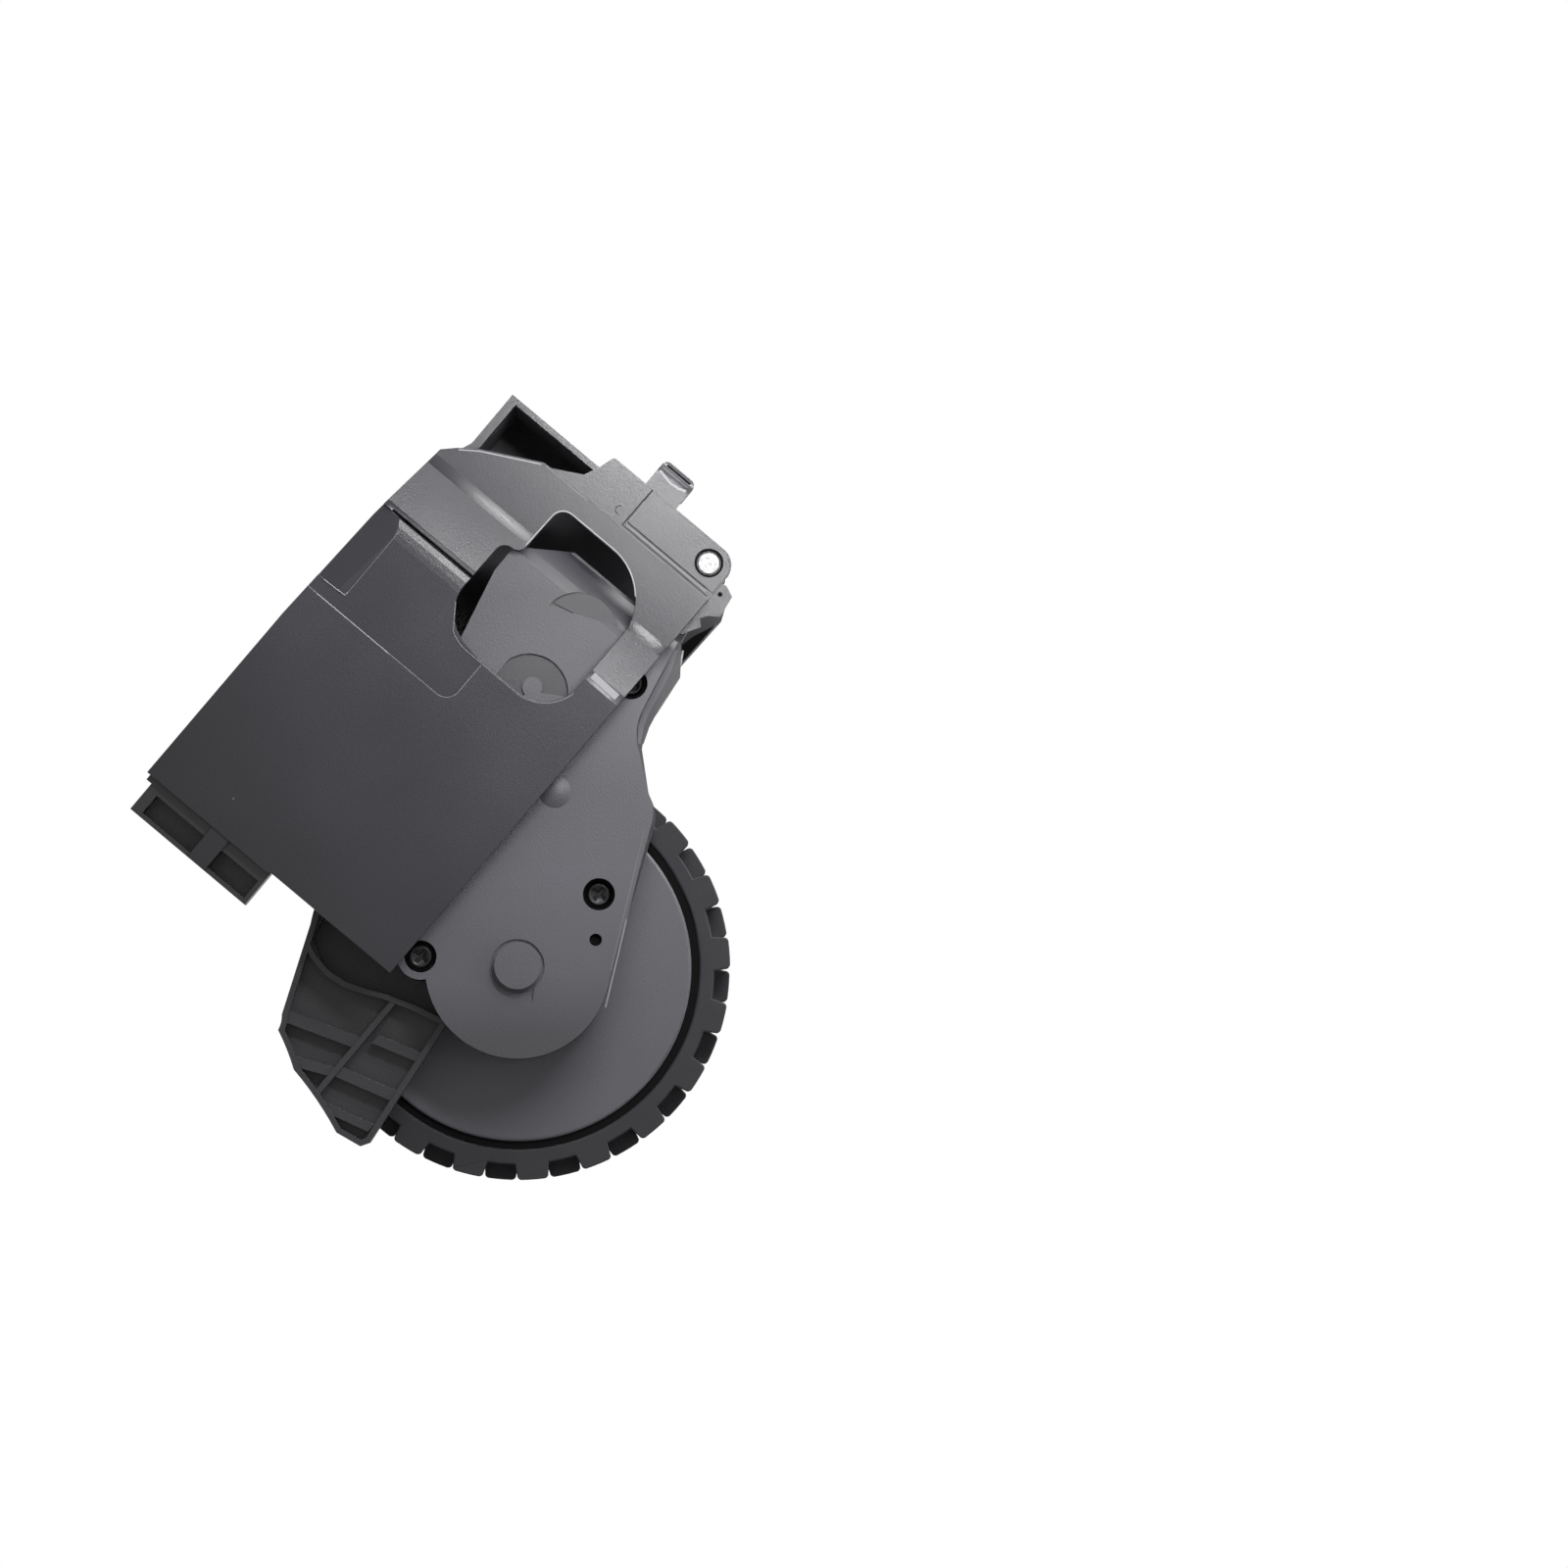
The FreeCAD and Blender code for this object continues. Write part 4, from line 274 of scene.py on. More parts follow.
def paint_shade_along(material, direction, stops):
    """Paint shade into a finish's colour, darker and lighter along a direction, from (millimetres
    from the axle, share) stops.
    """
    principled = principled_of(material)
    under = principled.inputs["Base Color"].links[0].from_node
    place = node(material, "ShaderNodeTexCoord")
    along = node(material, "ShaderNodeVectorMath", operation="DOT_PRODUCT")
    way = Vector(direction).normalized()
    along.inputs[1].default_value = way
    join(material, place, "Object", along, 0)
    ranged = node(material, "ShaderNodeMapRange")
    first, last = stops[0][0], stops[-1][0]
    ranged.inputs["From Min"].default_value = AXLE.dot(way) + first * MM
    ranged.inputs["From Max"].default_value = AXLE.dot(way) + last * MM
    join(material, along, "Value", ranged, "Value")
    ramp = node(material, "ShaderNodeValToRGB")
    elements = ramp.color_ramp.elements
    for i, (where, share) in enumerate(stops):
        position = (where - first) / (last - first)
        element = elements[0] if i == 0 else elements.new(position)
        element.position = position
        element.color = (share, share, share, 1)
    elements.remove(elements[-1])
    join(material, ranged, "Result", ramp, "Fac")
    mix = node(material, "ShaderNodeMixRGB", blend_type="MULTIPLY")
    mix.inputs["Fac"].default_value = 1.0
    join(material, under, "Color", mix, "Color1")
    join(material, ramp, "Color", mix, "Color2")
    join(material, mix, "Color", principled, "Base Color")


HAMMERED_DEPTH = 0.0003
HAMMERED_FADE = 0.0004
HAMMERED_BUMP = 0.00012


def peened(name, colour, rough, deepest):
    """Ground steel whose near end, up to a depth, was hammered: coarse bright and dull grains."""
    material = new_material(name)
    grains = noise(material, 1500, 2)
    place = node(material, "ShaderNodeTexCoord")
    split = node(material, "ShaderNodeSeparateXYZ")
    join(material, place, "Object", split, "Vector")
    hammered = node(material, "ShaderNodeMapRange")
    hammered.inputs["From Min"].default_value = deepest + HAMMERED_FADE
    hammered.inputs["From Max"].default_value = deepest
    join(material, split, "Y", hammered, "Value")
    centred = node(material, "ShaderNodeMath", operation="SUBTRACT")
    centred.inputs[1].default_value = 0.5
    join(material, grains, "Fac", centred, 0)
    masked = node(material, "ShaderNodeMath", operation="MULTIPLY_ADD")
    masked.inputs[2].default_value = 0.5
    join(material, centred, "Value", masked, 0)
    join(material, hammered, "Result", masked, 1)
    principled = shader(
        material,
        tint(material, masked, "Value", colour, 0.7),
        spread(material, masked, "Value", rough - 0.1, rough + 0.15),
        metallic=1.0,
    )
    add_bump(material, principled, masked, "Value", HAMMERED_BUMP)
    return material


def metal(name, colour, rough, stretch=(1, 1, 1), grain=2500, depth=0.000004):
    """Bare metal with the fine lines of how it was turned, ground or drawn."""
    material = new_material(name)
    lines = noise(material, grain, 3, stretch)
    stains = noise(material, 120, 3)
    principled = shader(
        material,
        tint(material, stains, "Fac", colour, 0.06),
        spread(material, lines, "Fac", rough - 0.07, rough + 0.1),
        metallic=1.0,
    )
    add_bump(material, principled, lines, "Fac", depth)
    return material


def rubber(name, colour):
    """Matt rubber with a dusty, slightly uneven skin."""
    material = new_material(name)
    dust_and_shade = noise(material, 160, 5)
    pores = noise(material, 2600, 3)
    principled = shader(
        material,
        tint(material, dust_and_shade, "Fac", colour, 0.22),
        spread(material, dust_and_shade, "Fac", 0.62, 0.8),
        specular=0.35,
    )
    add_bump(material, principled, pores, "Fac", 0.00003)
    return material


# how dark each finish is; white surroundings add their own reflection to it
COLOURS = {
    "frame_plastic": (0.0215, 0.0208, 0.0262),
    "cover_plastic": (0.0205, 0.0198, 0.025),
    "base_plastic": (0.0185, 0.018, 0.022),
    "lid_plastic": (0.057, 0.0553, 0.0655),
    "hub_plastic": (0.059, 0.057, 0.067),
    "gear_plastic": (0.78, 0.77, 0.72),
    "motor_cap": (0.03, 0.03, 0.03),
    "board": (0.02, 0.13, 0.06),
    "connector": (0.85, 0.84, 0.80),
    "magnet": (0.10, 0.10, 0.10),
    "tyre_rubber": (0.0165, 0.0162, 0.0195),
    "pin_steel": (0.72, 0.72, 0.72),
    "pin_end": (0.36, 0.36, 0.36),
    # painted shade: near black for the dark rings, strips and plates where shade falls
    "painted_shade_black": (0.004, 0.004, 0.004),
    # painted highlight: pale grey for the bright rounded edges and the glints on the cover's bends
    "painted_highlight": (0.24, 0.235, 0.25),
    # painted highlight: a darker grey for the fainter bright edges
    "painted_faint_highlight": (0.085, 0.083, 0.095),
    "spring_steel": (0.55, 0.55, 0.56),
    "screw_steel": (0.022, 0.022, 0.023),
    "recess_plastic": (0.021, 0.0205, 0.025),
    "motor_steel": (0.62, 0.62, 0.63),
    "copper": (0.72, 0.42, 0.24),
    "brass": (0.75, 0.60, 0.30),
    "bronze": (0.55, 0.40, 0.24),
}


# roughness and what else differs from a plain moulded plastic
PLASTICS = {
    "frame_plastic": dict(rough=0.34, specular=0.45),
    "cover_plastic": dict(rough=0.31, cloud=0.14, specular=0.36),
    "base_plastic": dict(rough=0.42, cloud=0.2, specular=0.4),
    "lid_plastic": dict(rough=0.48, depth=0.00003),
    "hub_plastic": dict(rough=0.5, depth=0.00003, cloud=0.2),
    "recess_plastic": dict(rough=0.5, cloud=0.05),
    "gear_plastic": dict(rough=0.34, grain=900, cloud=0.03),
    "motor_cap": dict(rough=0.4),
    "board": dict(rough=0.3, grain=700, depth=0.00001),
    "connector": dict(rough=0.4, cloud=0.03),
    "magnet": dict(rough=0.5, grain=1800),
    # painted shade, near black and dull
    "painted_shade_black": dict(rough=0.9, cloud=0.3, specular=0.08),
    # painted highlight on edges and bends
    "painted_highlight": dict(rough=0.45, cloud=0.35),
    # painted highlight on the fainter edges
    "painted_faint_highlight": dict(rough=0.45, cloud=0.35),
}
METALS = {
    "pin_steel": dict(rough=0.28),
    "spring_steel": dict(rough=0.32),
    "screw_steel": dict(rough=0.36),
    "motor_steel": dict(rough=0.3, stretch=(1, 14, 1)),
    "copper": dict(rough=0.3),
    "brass": dict(rough=0.3),
    "bronze": dict(rough=0.45, grain=1500),
}

# painted shade: how some finishes' colour darkens along a direction where the light falls off,
# matched to the photograph
PAINTED_SHADES = {
    "frame_plastic": ((1, 0, 0), [(-19, 0.22), (-13, 0.4), (0, 1.0)]),
    "cover_plastic": ((1, 0, -0.5), [(-50, 0.3), (-15, 0.82), (10, 1.0)]),
    "base_plastic": ((1, 0, 0.6), [(-30, 0.8), (-10, 0.45), (10, 1.0)]),
    "lid_plastic": ((1, 0, 1), [(-12, 0.45), (-2, 0.85), (15, 0.95), (28, 0.75), (48, 1.0),
                                (62, 0.6), (74, 0.3)]),
}


def make_materials():
    made = {name: plastic(name, COLOURS[name], **how) for name, how in PLASTICS.items()}
    made.update((name, metal(name, COLOURS[name], **how)) for name, how in METALS.items())
    made["tyre_rubber"] = rubber("tyre_rubber", COLOURS["tyre_rubber"])
    hammered_to = pivot_low.y + HAMMERED_DEPTH
    made["pin_end"] = peened("pin_end", COLOURS["pin_end"], 0.6, hammered_to)
    rough_inside(made["frame_plastic"])
    speckled(made["cover_plastic"])
    for name, (direction, stops) in PAINTED_SHADES.items():
        paint_shade_along(made[name], direction, stops)
    return made


WELD_WITHIN = 0.000002
FLAT_WITHIN = math.radians(0.5)
SHARP_FROM = math.radians(32)
BEVEL_SEGMENTS = 2

# how round each CAD node's edges are, in mm; the rest keep their tessellated edges
EDGE_ROUNDS = {
    "frame_shell": 0.25,
    "inner_cover": 0.25,
    "outer_cover": 0.25,
    "outer_cover_screws": 0.08,
    "gearbox_base": 0.22,
    "gearbox_cover": 0.25,
    "gearbox_screws": 0.08,
    "wheel_hub": 0.2,
    "tyre": 0.25,
    "motor_end_cap": 0.15,
    "board_connector": 0.12,
    "encoder_magnet": 0.1,
    "hub_washer": 0.1,
    "hub_screw": 0.1,
}


def dress(node_object, material):
    """Give a CAD node its material and, without touching its mesh, rounded edges."""
    node_object.data.materials.clear()
    node_object.data.materials.append(material)
    round_mm = EDGE_ROUNDS.get(node_object.name)
    if round_mm is None:
        return
    weld = node_object.modifiers.new("Weld", "WELD")
    weld.merge_threshold = WELD_WITHIN
    flat = node_object.modifiers.new("Flat faces", "DECIMATE")
    flat.decimate_type = "DISSOLVE"
    flat.angle_limit = FLAT_WITHIN
    bevel = node_object.modifiers.new("Edges", "BEVEL")
    bevel.width = round_mm * MM
    bevel.segments = BEVEL_SEGMENTS
    bevel.limit_method = "ANGLE"
    bevel.angle_limit = SHARP_FROM


def dress_cad(materials):
    slots = {s["node"]: s["material_slot"] for s in frame["record"]["subparts"]}
    for name, node_object in frame["nodes"].items():
        dress(node_object, materials[slots[name]])
    pin = frame["nodes"]["pivot_pin"]
    pin.data.materials[0] = materials["pin_end"]


# pieces that the solids leave out

def new_object(name, build, material):
    """Make an object of a bmesh and give it its material."""
    mesh = bpy.data.meshes.new(name)
    build.to_mesh(mesh)
    build.free()
    mesh.materials.append(material)
    made = bpy.data.objects.new(name, mesh)
    bpy.context.scene.collection.objects.link(made)
    return made


def new_piece(name, build, material, body, edge_mm=0.0):
    """Make a piece of a bmesh, with edges rounded by edge_mm, and let it ride on a body."""
    bmesh.ops.recalc_face_normals(build, faces=build.faces)
    piece = new_object(name, build, material)
    if edge_mm:
        bevel = piece.modifiers.new("Edges", "BEVEL")
        bevel.width = edge_mm * MM
        bevel.segments = BEVEL_SEGMENTS
        bevel.limit_method = "ANGLE"
    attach(piece, body)


def add_skin(build, rings, closed=False):
    """Faces between rings of vertices, with the first joined to the last or each end capped."""
    pairs = list(zip(rings, rings[1:]))
    if closed:
        pairs.append((rings[-1], rings[0]))
    else:
        build.faces.new(rings[0])
        build.faces.new(rings[-1][::-1])
    count = len(rings[0])
    for here, there in pairs:
        for i in range(count):
            j = (i + 1) % count
            build.faces.new((here[i], here[j], there[j], there[i]))


def add_plate(build, outline, near, far):
    """A flat plate from (x, z) corners, between two depths, all in millimetres."""
    add_skin(build, [[build.verts.new(at(x, y, z)) for x, z in outline] for y in (near, far)])


def add_lathe(build, centre, profile, steps=48):
    """A ring turned about an axle along Y, from closed (radius, depth) corners in millimetres."""
    rings = []
    for step in range(steps):
        turn = 2 * math.pi * step / steps
        rings.append([
            build.verts.new(at(centre[0] + r * math.cos(turn), y, centre[1] + r * math.sin(turn)))
            for r, y in profile
        ])
    add_skin(build, rings, closed=True)


def circle(centre, radius, start, end, steps):
    """Points of an arc, by angle in degrees from +X towards +Z."""
    points = []
    for step in range(steps + 1):
        turn = math.radians(start + (end - start) * step / steps)
        points.append((centre[0] + radius * math.cos(turn), centre[1] + radius * math.sin(turn)))
    return points


# depths behind the cover's face in millimetres, and where the cover bends back
PROUD = 0.03
GEARBOX_FACE = 4.8
PARTING = 10.0
EAR_FACE = 4.4
OUTER_COVER = 42.6
COVER_SET_BACK = 2.6
BEND_ONE = 45.0
BEND_TWO = 56.0


def cover_depth(x):
    """Depth of the cover's face at x, in millimetres."""
    share = (x - BEND_ONE) / (BEND_TWO - BEND_ONE)
    return COVER_SET_BACK * min(1.0, max(0.0, share))


def add_ribbon(build, points, wide, near=None, thick=0.06):
    """A thin strip along (x, z) points in millimetres, its front at a depth or on the cover."""
    left, right = [], []
    for i, point in enumerate(points):
        before = Vector(points[max(0, i - 1)])
        after = Vector(points[min(len(points) - 1, i + 1)])
        along = (after - before).normalized()
        across = Vector((-along.y, along.x)) * wide / 2
        here = Vector(point)
        left.append(tuple(here + across))
        right.append(tuple(here - across))
    rings = []
    for sides in zip(left, right):
        fronts = [cover_depth(x) - PROUD if near is None else near for x, z in sides]
        front = [(x, y, z) for (x, z), y in zip(sides, fronts)]
        back = [(x, y + thick, z) for x, y, z in front[::-1]]
        rings.append([build.verts.new(at(*corner)) for corner in front + back])
    add_skin(build, rings)


# the half-round recesses' floor and centres, and the pin in the first
MOON_FLOOR = 5.5
MOON_ONE = (36.3, 28.0)
MOON_TWO = (49.5, 28.2)
MOON_PIN = (37.4, 28.2)


def make_moons(materials):
    """Darker plates on the floors of the gearbox face's two half-round recesses and on the first
    one's pin, with painted shade in a ring round that pin.
    """
    near, far = MOON_FLOOR - 0.3, MOON_FLOOR + 0.05
    build = bmesh.new()
    corner = (MOON_ONE[0] + 0.5, MOON_ONE[1] + 0.3)
    add_plate(build, [corner] + circle(MOON_ONE, 6.4, -58, 165, 40), near, far)
    add_plate(build, circle(MOON_TWO, 6.5, -56, 81, 40), near, far)
    add_plate(build, disc(MOON_PIN, 1.62), GEARBOX_FACE + 0.26, GEARBOX_FACE + 0.4)
    new_piece("recess_plates", build, materials["recess_plastic"], "arm", 0.06)
    build = bmesh.new()
    add_lathe(build, MOON_PIN, ring_profile(1.72, 2.0, MOON_FLOOR - 0.08, MOON_FLOOR), 24)
    new_piece("recess_pin_shade", build, materials["painted_shade_black"], "arm")


# inner and outer (x, z) of the skirt, with the depth of its outer edge
SKIRT = [
    ((41.6, 8.6), (42.3, 7.9), 11.2),
    ((44.0, 10.6), (45.2, 9.0), 11.8),
    ((46.6, 11.6), (48.4, 9.7), 12.2),
    ((50.4, 12.4), (52.2, 10.2), 12.4),
    ((54.2, 13.2), (55.6, 11.2), 12.4),
    ((57.6, 14.2), (58.6, 12.9), 12.0),
]
SKIRT_THICK = 1.0


def make_skirt(materials):
    """The sloping lip under the gearbox's lower edge, towards the pivot."""
    build = bmesh.new()
    rings = []
    for inner, outer, deep in SKIRT:
        middle = ((inner[0] + outer[0]) / 2, (inner[1] + outer[1]) / 2)
        front = PARTING + (deep - PARTING) * 0.6
        back = deep + SKIRT_THICK
        section = [(inner, PARTING - 0.1), (middle, PARTING - 0.05), (outer, front),
                   (outer, back), (inner, back)]
        rings.append([build.verts.new(at(x, y, z)) for (x, z), y in section])
    add_skin(build, rings)
    new_piece("gearbox_skirt", build, materials["lid_plastic"], "arm", 0.05)
    # painted highlight along the skirt's outer edge towards the pivot
    build = bmesh.new()
    edge = [outer for inner, outer, deep in SKIRT[4:]]
    add_ribbon(build, edge, 0.3, 10.9, 0.5)
    new_piece("skirt_edge", build, materials["painted_highlight"], "arm")


# each gearbox screw's (x, z), and the depth of the floor round its head
SCREWS = [((18.0, -2.7), 7.4), ((-9.2, 13.5), 6.3), ((48.6, 15.9), 7.4), ((9.0, 32.8), 7.4)]


def make_screw_shade_rings(materials):
    """A dark ring of screw steel round each gearbox screw's head, painted shade on the
    counterbore's floor.
    """
    build = bmesh.new()
    for centre, floor in SCREWS:
        front, slope = floor - 0.35, floor - 0.2
        add_lathe(build, centre, [(2.22, front), (2.6, slope), (2.66, floor), (2.22, floor)])
    new_piece("screw_shade_rings", build, materials["screw_steel"], "arm")


def disc(centre, radius):
    """The corners of a round of 24 sides."""
    return circle(centre, radius, 360, 15, 23)


def ring_profile(inner, outer, near, far):
    """The (radius, depth) corners of a plain ring."""
    return [(inner, near), (outer, near), (outer, far), (inner, far)]


def add_pierced_plate(build, outline, hole, near, far):
    """A flat plate with one round hole, between two depths, all in millimetres."""
    loops = [[build.verts.new(at(x, near, z)) for x, z in points] for points in (outline, hole)]
    edges = []
    for loop in loops:
        for i, vertex in enumerate(loop):
            edges.append(build.edges.new((vertex, loop[(i + 1) % len(loop)])))
    made = bmesh.ops.triangle_fill(build, edges=edges, use_beauty=True)
    faces = [g for g in made["geom"] if isinstance(g, bmesh.types.BMFace)]
    raised = bmesh.ops.extrude_face_region(build, geom=faces)
    moved = [g for g in raised["geom"] if isinstance(g, bmesh.types.BMVert)]
    bmesh.ops.translate(build, verts=moved, vec=(0, (far - near) * MM, 0))


# the pivot pin's (x, z)
PIN = (72.4, 18.9)


def make_ear_trim(materials):
    """The raised pad on the near ear, with painted shade for the pin's dark bore, its folds and a
    moulding mark, and painted highlights beside them.
    """
    build = bmesh.new()
    corner = circle((72.3, 18.5), 3.3, -90, 0, 8)
    outline = [(68.9, 15.2)] + corner + [(75.6, 33.9), (68.9, 33.9)]
    add_pierced_plate(build, outline, circle(PIN, 2.4, 360, 10, 35), EAR_FACE - 0.25, EAR_FACE)
    new_piece("ear_pad", build, materials["frame_plastic"], "frame", 0.06)
    build = bmesh.new()
    add_lathe(build, PIN, ring_profile(2.03, 2.39, EAR_FACE - 0.05, EAR_FACE))
    new_piece("pin_gap", build, materials["painted_shade_black"], "frame")
    front = EAR_FACE - 0.06
    build = bmesh.new()
    add_ribbon(build, [(67.95, 15.6), (68.0, 34.2)], 0.14, front)
    add_ribbon(build, [(68.86, 16.5), (68.86, 33.7)], 0.14, front)
    add_ribbon(build, [(68.0, 34.15), (75.8, 34.05)], 0.18, front)
    add_ribbon(build, circle((69.6, 36.1), 0.72, 20, 200, 12), 0.12, front)
    new_piece("ear_fold_shade", build, materials["painted_shade_black"], "frame")
    build = bmesh.new()
    add_ribbon(build, [(68.42, 16.2), (68.42, 33.6)], 0.3, front)
    add_ribbon(build, [(67.25, 41.1), (67.75, 38.2), (68.15, 36.2)], 0.2, front)
    add_ribbon(build, circle((69.6, 36.1), 0.9, -20, 160, 12), 0.12, front)
    add_ribbon(build, [(69.1, 33.75), (75.4, 33.75)], 0.16, EAR_FACE - 0.28)
    new_piece("ear_edge_highlights", build, materials["painted_faint_highlight"], "frame")


def make_cover_edges(materials):
    """Painted highlights for the bright edges where the cover's steps, bends, slit and window are
    rounded, and for the glints on its bends.
    """
    build = bmesh.new()
    add_ribbon(build, [(26.15, 65.8), (26.15, 60.0), (26.15, 50.0)], 0.16, -0.04)
    add_ribbon(build, [(28.7, 66.4), (28.9, 62.0), (29.6, 61.85)], 0.16, -0.04)
    new_piece("cover_lines", build, materials["painted_highlight"], "frame")
    build = bmesh.new()
    corner = circle((28.75, 39.6), 2.6, 180, 270, 8)
    add_ribbon(build, [(26.15, 50.0), (26.15, 44.0)] + corner + [(34.6, 37.0)], 0.16, -PROUD)
    add_ribbon(build, [(29.6, 61.85), (43.6, 61.85)], 0.12, -PROUD)
    add_ribbon(build, [(26.15, 66.0), (26.15, 67.6)], 0.16, -PROUD)
    left = [(40.0, 47.1)] + circle((42.5, 40.3), 7.65, 150, 180, 6) + [(34.85, 29.5)]
    add_ribbon(build, left + circle((42.5, 29.6), 7.65, 180, 258, 14), 0.2)
    add_ribbon(build, [(67.25, 50.2), (67.25, 41.1)], 0.2)
    new_piece("cover_faint_lines", build, materials["painted_faint_highlight"], "frame")
    build = bmesh.new()
    right = [(54.9, 44.25), (61.4, 44.05)] + circle((61.4, 41.6), 2.45, 80, 0, 8) + [(63.85, 33.0)]
    add_ribbon(build, right + circle((53.4, 32.7), 10.45, 0, -50, 10), 0.2)
    add_ribbon(build, [(66.95, 51.0), (62.0, 60.3), (59.9, 63.2)], 0.2)
    # painted highlights for the glints where the two bends cross the lower band
    add_ribbon(build, [(45.3, 21.6), (45.1, 16.1)], 1.2, -PROUD, 0.3)
    add_ribbon(build, [(56.1, 21.6), (56.3, 16.1)], 0.8, COVER_SET_BACK - 0.1, 0.2)
    new_piece("cover_rim_lines", build, materials["painted_highlight"], "frame")


def make_frame_edges(materials):
    """A painted highlight on the outer cover's lower rim, and painted shade for the dark corner
    over it and the hole in the ear's web.
    """
    build = bmesh.new()
    add_ribbon(build, [(55.0, 12.34), (61.6, 12.14), (66.8, 11.98)], 0.22, OUTER_COVER - 0.16, 0.2)
    new_piece("far_rim", build, materials["painted_faint_highlight"], "frame")
    build = bmesh.new()
    # painted shade: the outline of the dark corner over the rim
    dust_and_shade = [(55.6, 12.5), (59.2, 14.6), (62.8, 13.8), (66.6, 12.2), (61.4, 12.34)]
    add_plate(build, dust_and_shade, OUTER_COVER - 0.1, OUTER_COVER + 0.02)
    add_plate(build, circle((69.6, 14.1), 0.42, 360, 24, 15), EAR_FACE + 0.45, EAR_FACE + 0.6)
    new_piece("ear_shadow", build, materials["painted_shade_black"], "frame")


def make_hook_lines(materials):
    """Painted highlights on the crest and the edges of the cable hook's rounded end, and painted
    shade in the groove between them.
    """
    build = bmesh.new()
    crest = [(79.1, 35.2), (78.7, 33.6), (78.5, 32.4), (78.7, 30.8), (79.1, 29.6)]
    add_ribbon(build, crest, 0.4, EAR_FACE - 0.06, 0.5)
    new_piece("hook_crest", build, materials["painted_highlight"], "frame")
    build = bmesh.new()
    add_ribbon(build, [(79.75, 34.9), (79.75, 29.6)], 0.2, EAR_FACE + 0.16, 0.6)
    add_ribbon(build, [(81.15, 34.4), (81.15, 30.0)], 0.2, EAR_FACE + 1.2, 1.2)
    new_piece("hook_edges", build, materials["painted_faint_highlight"], "frame")
    build = bmesh.new()
    add_ribbon(build, [(80.35, 34.8), (80.35, 29.8)], 0.7, EAR_FACE + 0.5, 0.6)
    new_piece("hook_groove_shade", build, materials["painted_shade_black"], "frame")


LEDGE = PARTING - 0.06
ALONG_LEDGE = Vector((0.894, 0.447))
ACROSS_LEDGE = Vector((0.447, -0.894))


def ledge_points(away, steps):
    """Points on a line beside the axle, away from it by so many millimetres, at some steps."""
    return [tuple(ACROSS_LEDGE * away + ALONG_LEDGE * step) for step in steps]


def make_ledge_lines(materials):
    """Painted highlights for the two thin bright edges along the ledge between the gearbox's
    halves.
    """
    build = bmesh.new()
    near = ledge_points(15.35, (3.0, 12.0, 22.0, 27.5))
    add_ribbon(build, near, 0.2, GEARBOX_FACE - PROUD)
    far = ledge_points(15.95, (12.0, 24.0, 30.0))
    add_ribbon(build, far, 0.22, LEDGE)
    new_piece("ledge_lines", build, materials["painted_faint_highlight"], "arm")
    build = bmesh.new()
    far = ledge_points(15.95, (-3.2, 4.0, 12.0))
    add_ribbon(build, far, 0.24, LEDGE)
    new_piece("ledge_end_line", build, materials["painted_highlight"], "arm")


def make_dark_gaps(materials):
    """Painted shade: a black disc in the small hole, and a black ring in the groove between hub
    and tyre.
    """
    build = bmesh.new()
    add_plate(build, disc((11.8, -7.2), 1.04), 5.9, 6.25)
    new_piece("small_hole_shade", build, materials["painted_shade_black"], "arm")
    build = bmesh.new()
    add_lathe(build, (0, 0), ring_profile(29.34, 30.56, 21.9, 22.55), 120)
    new_piece("groove_shade", build, materials["painted_shade_black"], "wheel")


SPRING_WIRE = 0.55
SPRING_RADIUS = 2.75
SPRING_TURNS = 4.75
SPRING_STEPS = 28
SPRING_SIDES = 12
SPRING_START = 28.1
SPRING_END = 33.895


def make_spring(materials):
    """The torsion spring, drawn as one fixed coil in place of the CAD's spring; the real one winds
    up as the arm swings.
    """
    start, end = SPRING_START, SPRING_END
    rise = end - start
    pin_x = (PIVOT.x - AXLE.x) / MM
    pin_z = (PIVOT.z - AXLE.z) / MM
    path = [at(pin_x + x, start, pin_z + SPRING_RADIUS) for x in (-9.0, -4.5)]
    count = int(SPRING_TURNS * SPRING_STEPS)
    for step in range(count + 1):
        share = step / count
        turn = 2 * math.pi * SPRING_TURNS * share
        x = pin_x + SPRING_RADIUS * math.sin(turn)
        z = pin_z + SPRING_RADIUS * math.cos(turn)
        path.append(at(x, start + rise * share, z))
    path += [at(pin_x - SPRING_RADIUS, end, pin_z + z) for z in (6.0, 12.0)]
    build = bmesh.new()
    rings = []
    for i, point in enumerate(path):
        before = path[max(0, i - 1)]
        after = path[min(len(path) - 1, i + 1)]
        along = (after - before).normalized()
        across = Vector((0, 1, 0))
        other = along.cross(across).normalized()
        across = other.cross(along).normalized()
        ring = []
        for side in range(SPRING_SIDES):
            turn = 2 * math.pi * side / SPRING_SIDES
            out = across * math.cos(turn) + other * math.sin(turn)
            ring.append(build.verts.new(point + out * SPRING_WIRE * MM))
        rings.append(ring)
    add_skin(build, rings)
    bmesh.ops.recalc_face_normals(build, faces=build.faces)
    spring = new_object("arm_spring", build, materials["spring_steel"])
    for face in spring.data.polygons:
        face.use_smooth = len(face.vertices) == 4
    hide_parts("return_spring")
    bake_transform(spring)


# floor, backdrop, lights and camera

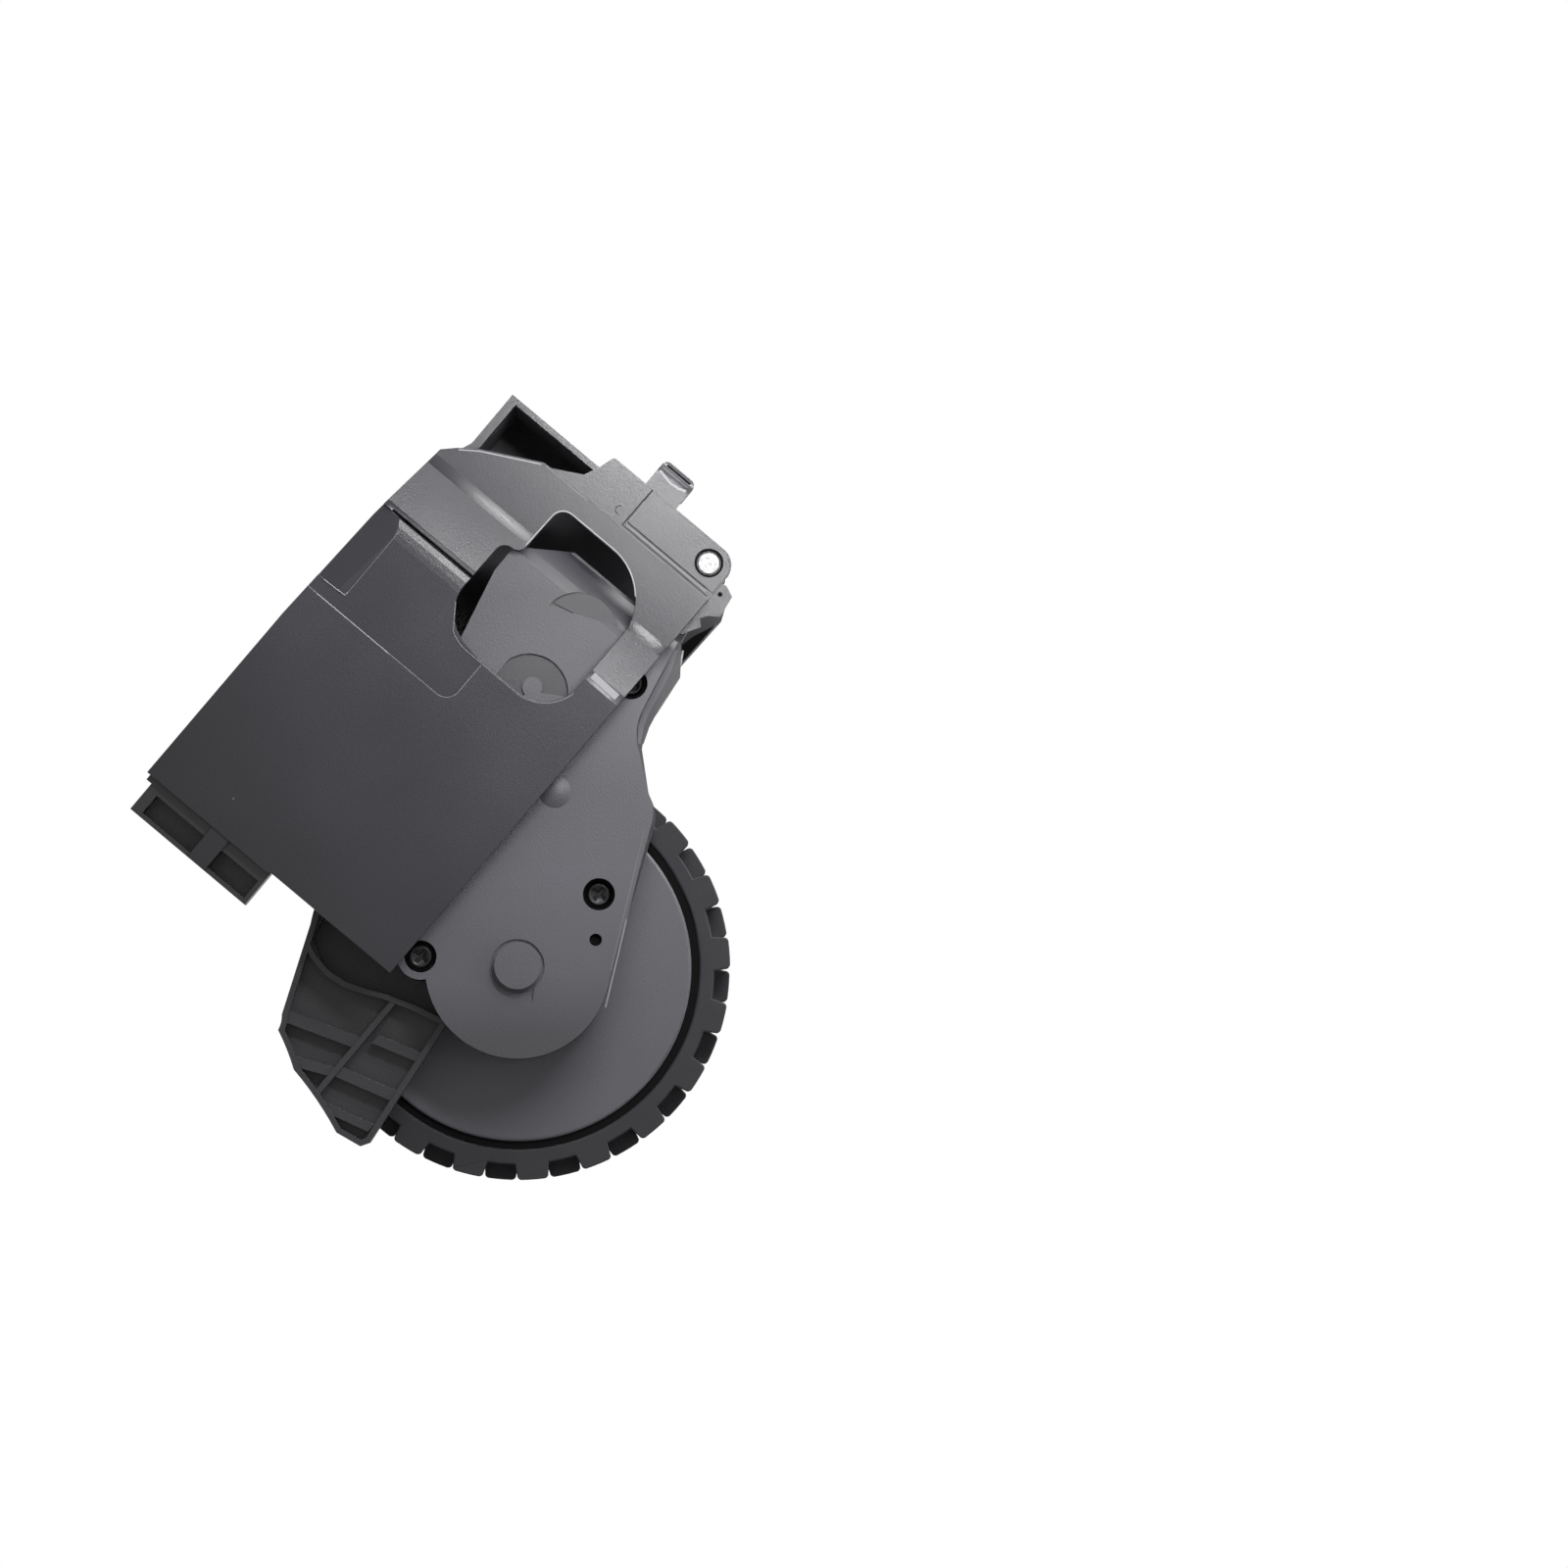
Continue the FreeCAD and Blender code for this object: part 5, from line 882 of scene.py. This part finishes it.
def make_floor():
    """A pale paper floor, paler still to the camera alone."""
    half = FLOOR_SIZE / 2
    build = bmesh.new()
    corners = ((-half, -half, 0), (half, -half, 0), (half, half, 0), (-half, half, 0))
    build.faces.new([build.verts.new(corner) for corner in corners])
    material = new_material("floor_paper")
    patches = noise(material, 6, 3)
    principled = shader(
        material,
        tint(material, patches, "Fac", FLOOR_COLOUR, 0.01),
        spread(material, patches, "Fac", 0.8, 0.9),
        specular=0.2,
    )
    principled.inputs["Emission Color"].default_value = (1, 1, 1, 1)
    path = node(material, "ShaderNodeLightPath")
    glow = node(material, "ShaderNodeMath", operation="MULTIPLY")
    glow.inputs[1].default_value = FLOOR_GLOW
    join(material, path, "Is Camera Ray", glow, 0)
    join(material, glow, "Value", principled, "Emission Strength")
    floor = new_object("floor", build, material)
    low, high = cad_box
    floor.location = ((low.x + high.x) / 2, (low.y + high.y) / 2, low.z - FLOOR_DROP)


def make_world():
    """Soft grey light all round, which shows as white to the camera and in reflections."""
    world = bpy.data.worlds.new("studio")
    bpy.context.scene.world = world
    world.use_nodes = True
    tree = world.node_tree
    tree.nodes.clear()
    grounds = []
    for strength in (WORLD_LIGHT, WORLD_SEEN):
        ground = tree.nodes.new("ShaderNodeBackground")
        ground.inputs["Color"].default_value = (1, 1, 1, 1)
        ground.inputs["Strength"].default_value = strength
        grounds.append(ground)
    path = tree.nodes.new("ShaderNodeLightPath")
    seen = path.outputs["Is Camera Ray"]
    for ray in ("Is Transmission Ray", "Is Glossy Ray"):
        either = tree.nodes.new("ShaderNodeMath")
        either.operation = "MAXIMUM"
        tree.links.new(seen, either.inputs[0])
        tree.links.new(path.outputs[ray], either.inputs[1])
        seen = either.outputs[0]
    mix = tree.nodes.new("ShaderNodeMixShader")
    tree.links.new(seen, mix.inputs["Fac"])
    for ground, socket in zip(grounds, (1, 2)):
        tree.links.new(ground.outputs["Background"], mix.inputs[socket])
    output = tree.nodes.new("ShaderNodeOutputWorld")
    tree.links.new(mix.outputs["Shader"], output.inputs["Surface"])


def softbox(name, place, aim, size, power):
    data = bpy.data.lights.new(name, "AREA")
    data.shape = "RECTANGLE"
    data.size, data.size_y = size
    data.energy = power
    lamp = bpy.data.objects.new(name, data)
    bpy.context.scene.collection.objects.link(lamp)
    lamp.location = place
    lamp.rotation_euler = (aim - place).to_track_quat("-Z", "Y").to_euler()
    lamp.visible_camera = False


def make_lights():
    """A pool of light from in front on the pivot's side, a key from its side, and fills."""
    middle = from_object(0, 0, 0)
    pool = PIVOT + Vector((0.024, -0.165, 0.008))
    softbox("pool", pool, PIVOT + Vector((-0.02, 0, 0.01)), (0.02, 0.09), POOL_POWER)
    softbox("key", middle + Vector((0.55, -0.45, 0.12)), middle, (0.08, 0.5), KEY_POWER)
    softbox("edge", middle + Vector((0.62, 0.02, 0.0)), middle, (0.06, 0.5), EDGE_POWER)
    rim = middle + IMAGE_RIGHT * 0.52 + TO_CAMERA * 0.3
    softbox("rim", rim, middle, (0.08, 0.3), RIM_POWER)
    softbox("back", middle + Vector((0.3, 1.1, 0.6)), middle, (0.9, 0.9), BACK_POWER)


def make_camera():
    data = bpy.data.cameras.new("camera")
    camera = bpy.data.objects.new("camera", data)
    bpy.context.scene.collection.objects.link(camera)
    pixels = PIXELS_PER_MM / MM * CAMERA_DISTANCE
    data.sensor_width = SENSOR
    data.lens = SENSOR * pixels / PHOTO_SIDE
    data.clip_end = 20
    right_of_axle = (PHOTO_SIDE / 2 - AXLE_PIXEL[0]) / PIXELS_PER_MM * MM
    above_axle = (AXLE_PIXEL[1] - PHOTO_SIDE / 2) / PIXELS_PER_MM * MM
    target = Vector((AXLE.x, FACE_Y, AXLE.z)) + IMAGE_RIGHT * right_of_axle + IMAGE_UP * above_axle
    forward = (-TO_CAMERA + IMAGE_RIGHT * LOOK_RIGHT + IMAGE_UP * LOOK_UP).normalized()
    right = forward.cross(IMAGE_UP).normalized()
    up = right.cross(forward)
    camera.location = target - forward * CAMERA_DISTANCE
    camera.rotation_mode = "QUATERNION"
    rows = ((right.x, up.x, -forward.x), (right.y, up.y, -forward.y), (right.z, up.z, -forward.z))
    camera.rotation_quaternion = Matrix(rows).to_quaternion()
    bpy.context.scene.camera = camera


bpy.context.scene.view_settings.view_transform = "Standard"
make_world()
make_lights()
make_camera()
make_floor()
materials = make_materials()
dress_cad(materials)
make_moons(materials)
make_skirt(materials)
make_screw_shade_rings(materials)
make_ear_trim(materials)
make_cover_edges(materials)
make_frame_edges(materials)
make_hook_lines(materials)
make_ledge_lines(materials)
make_dark_gaps(materials)
make_spring(materials)
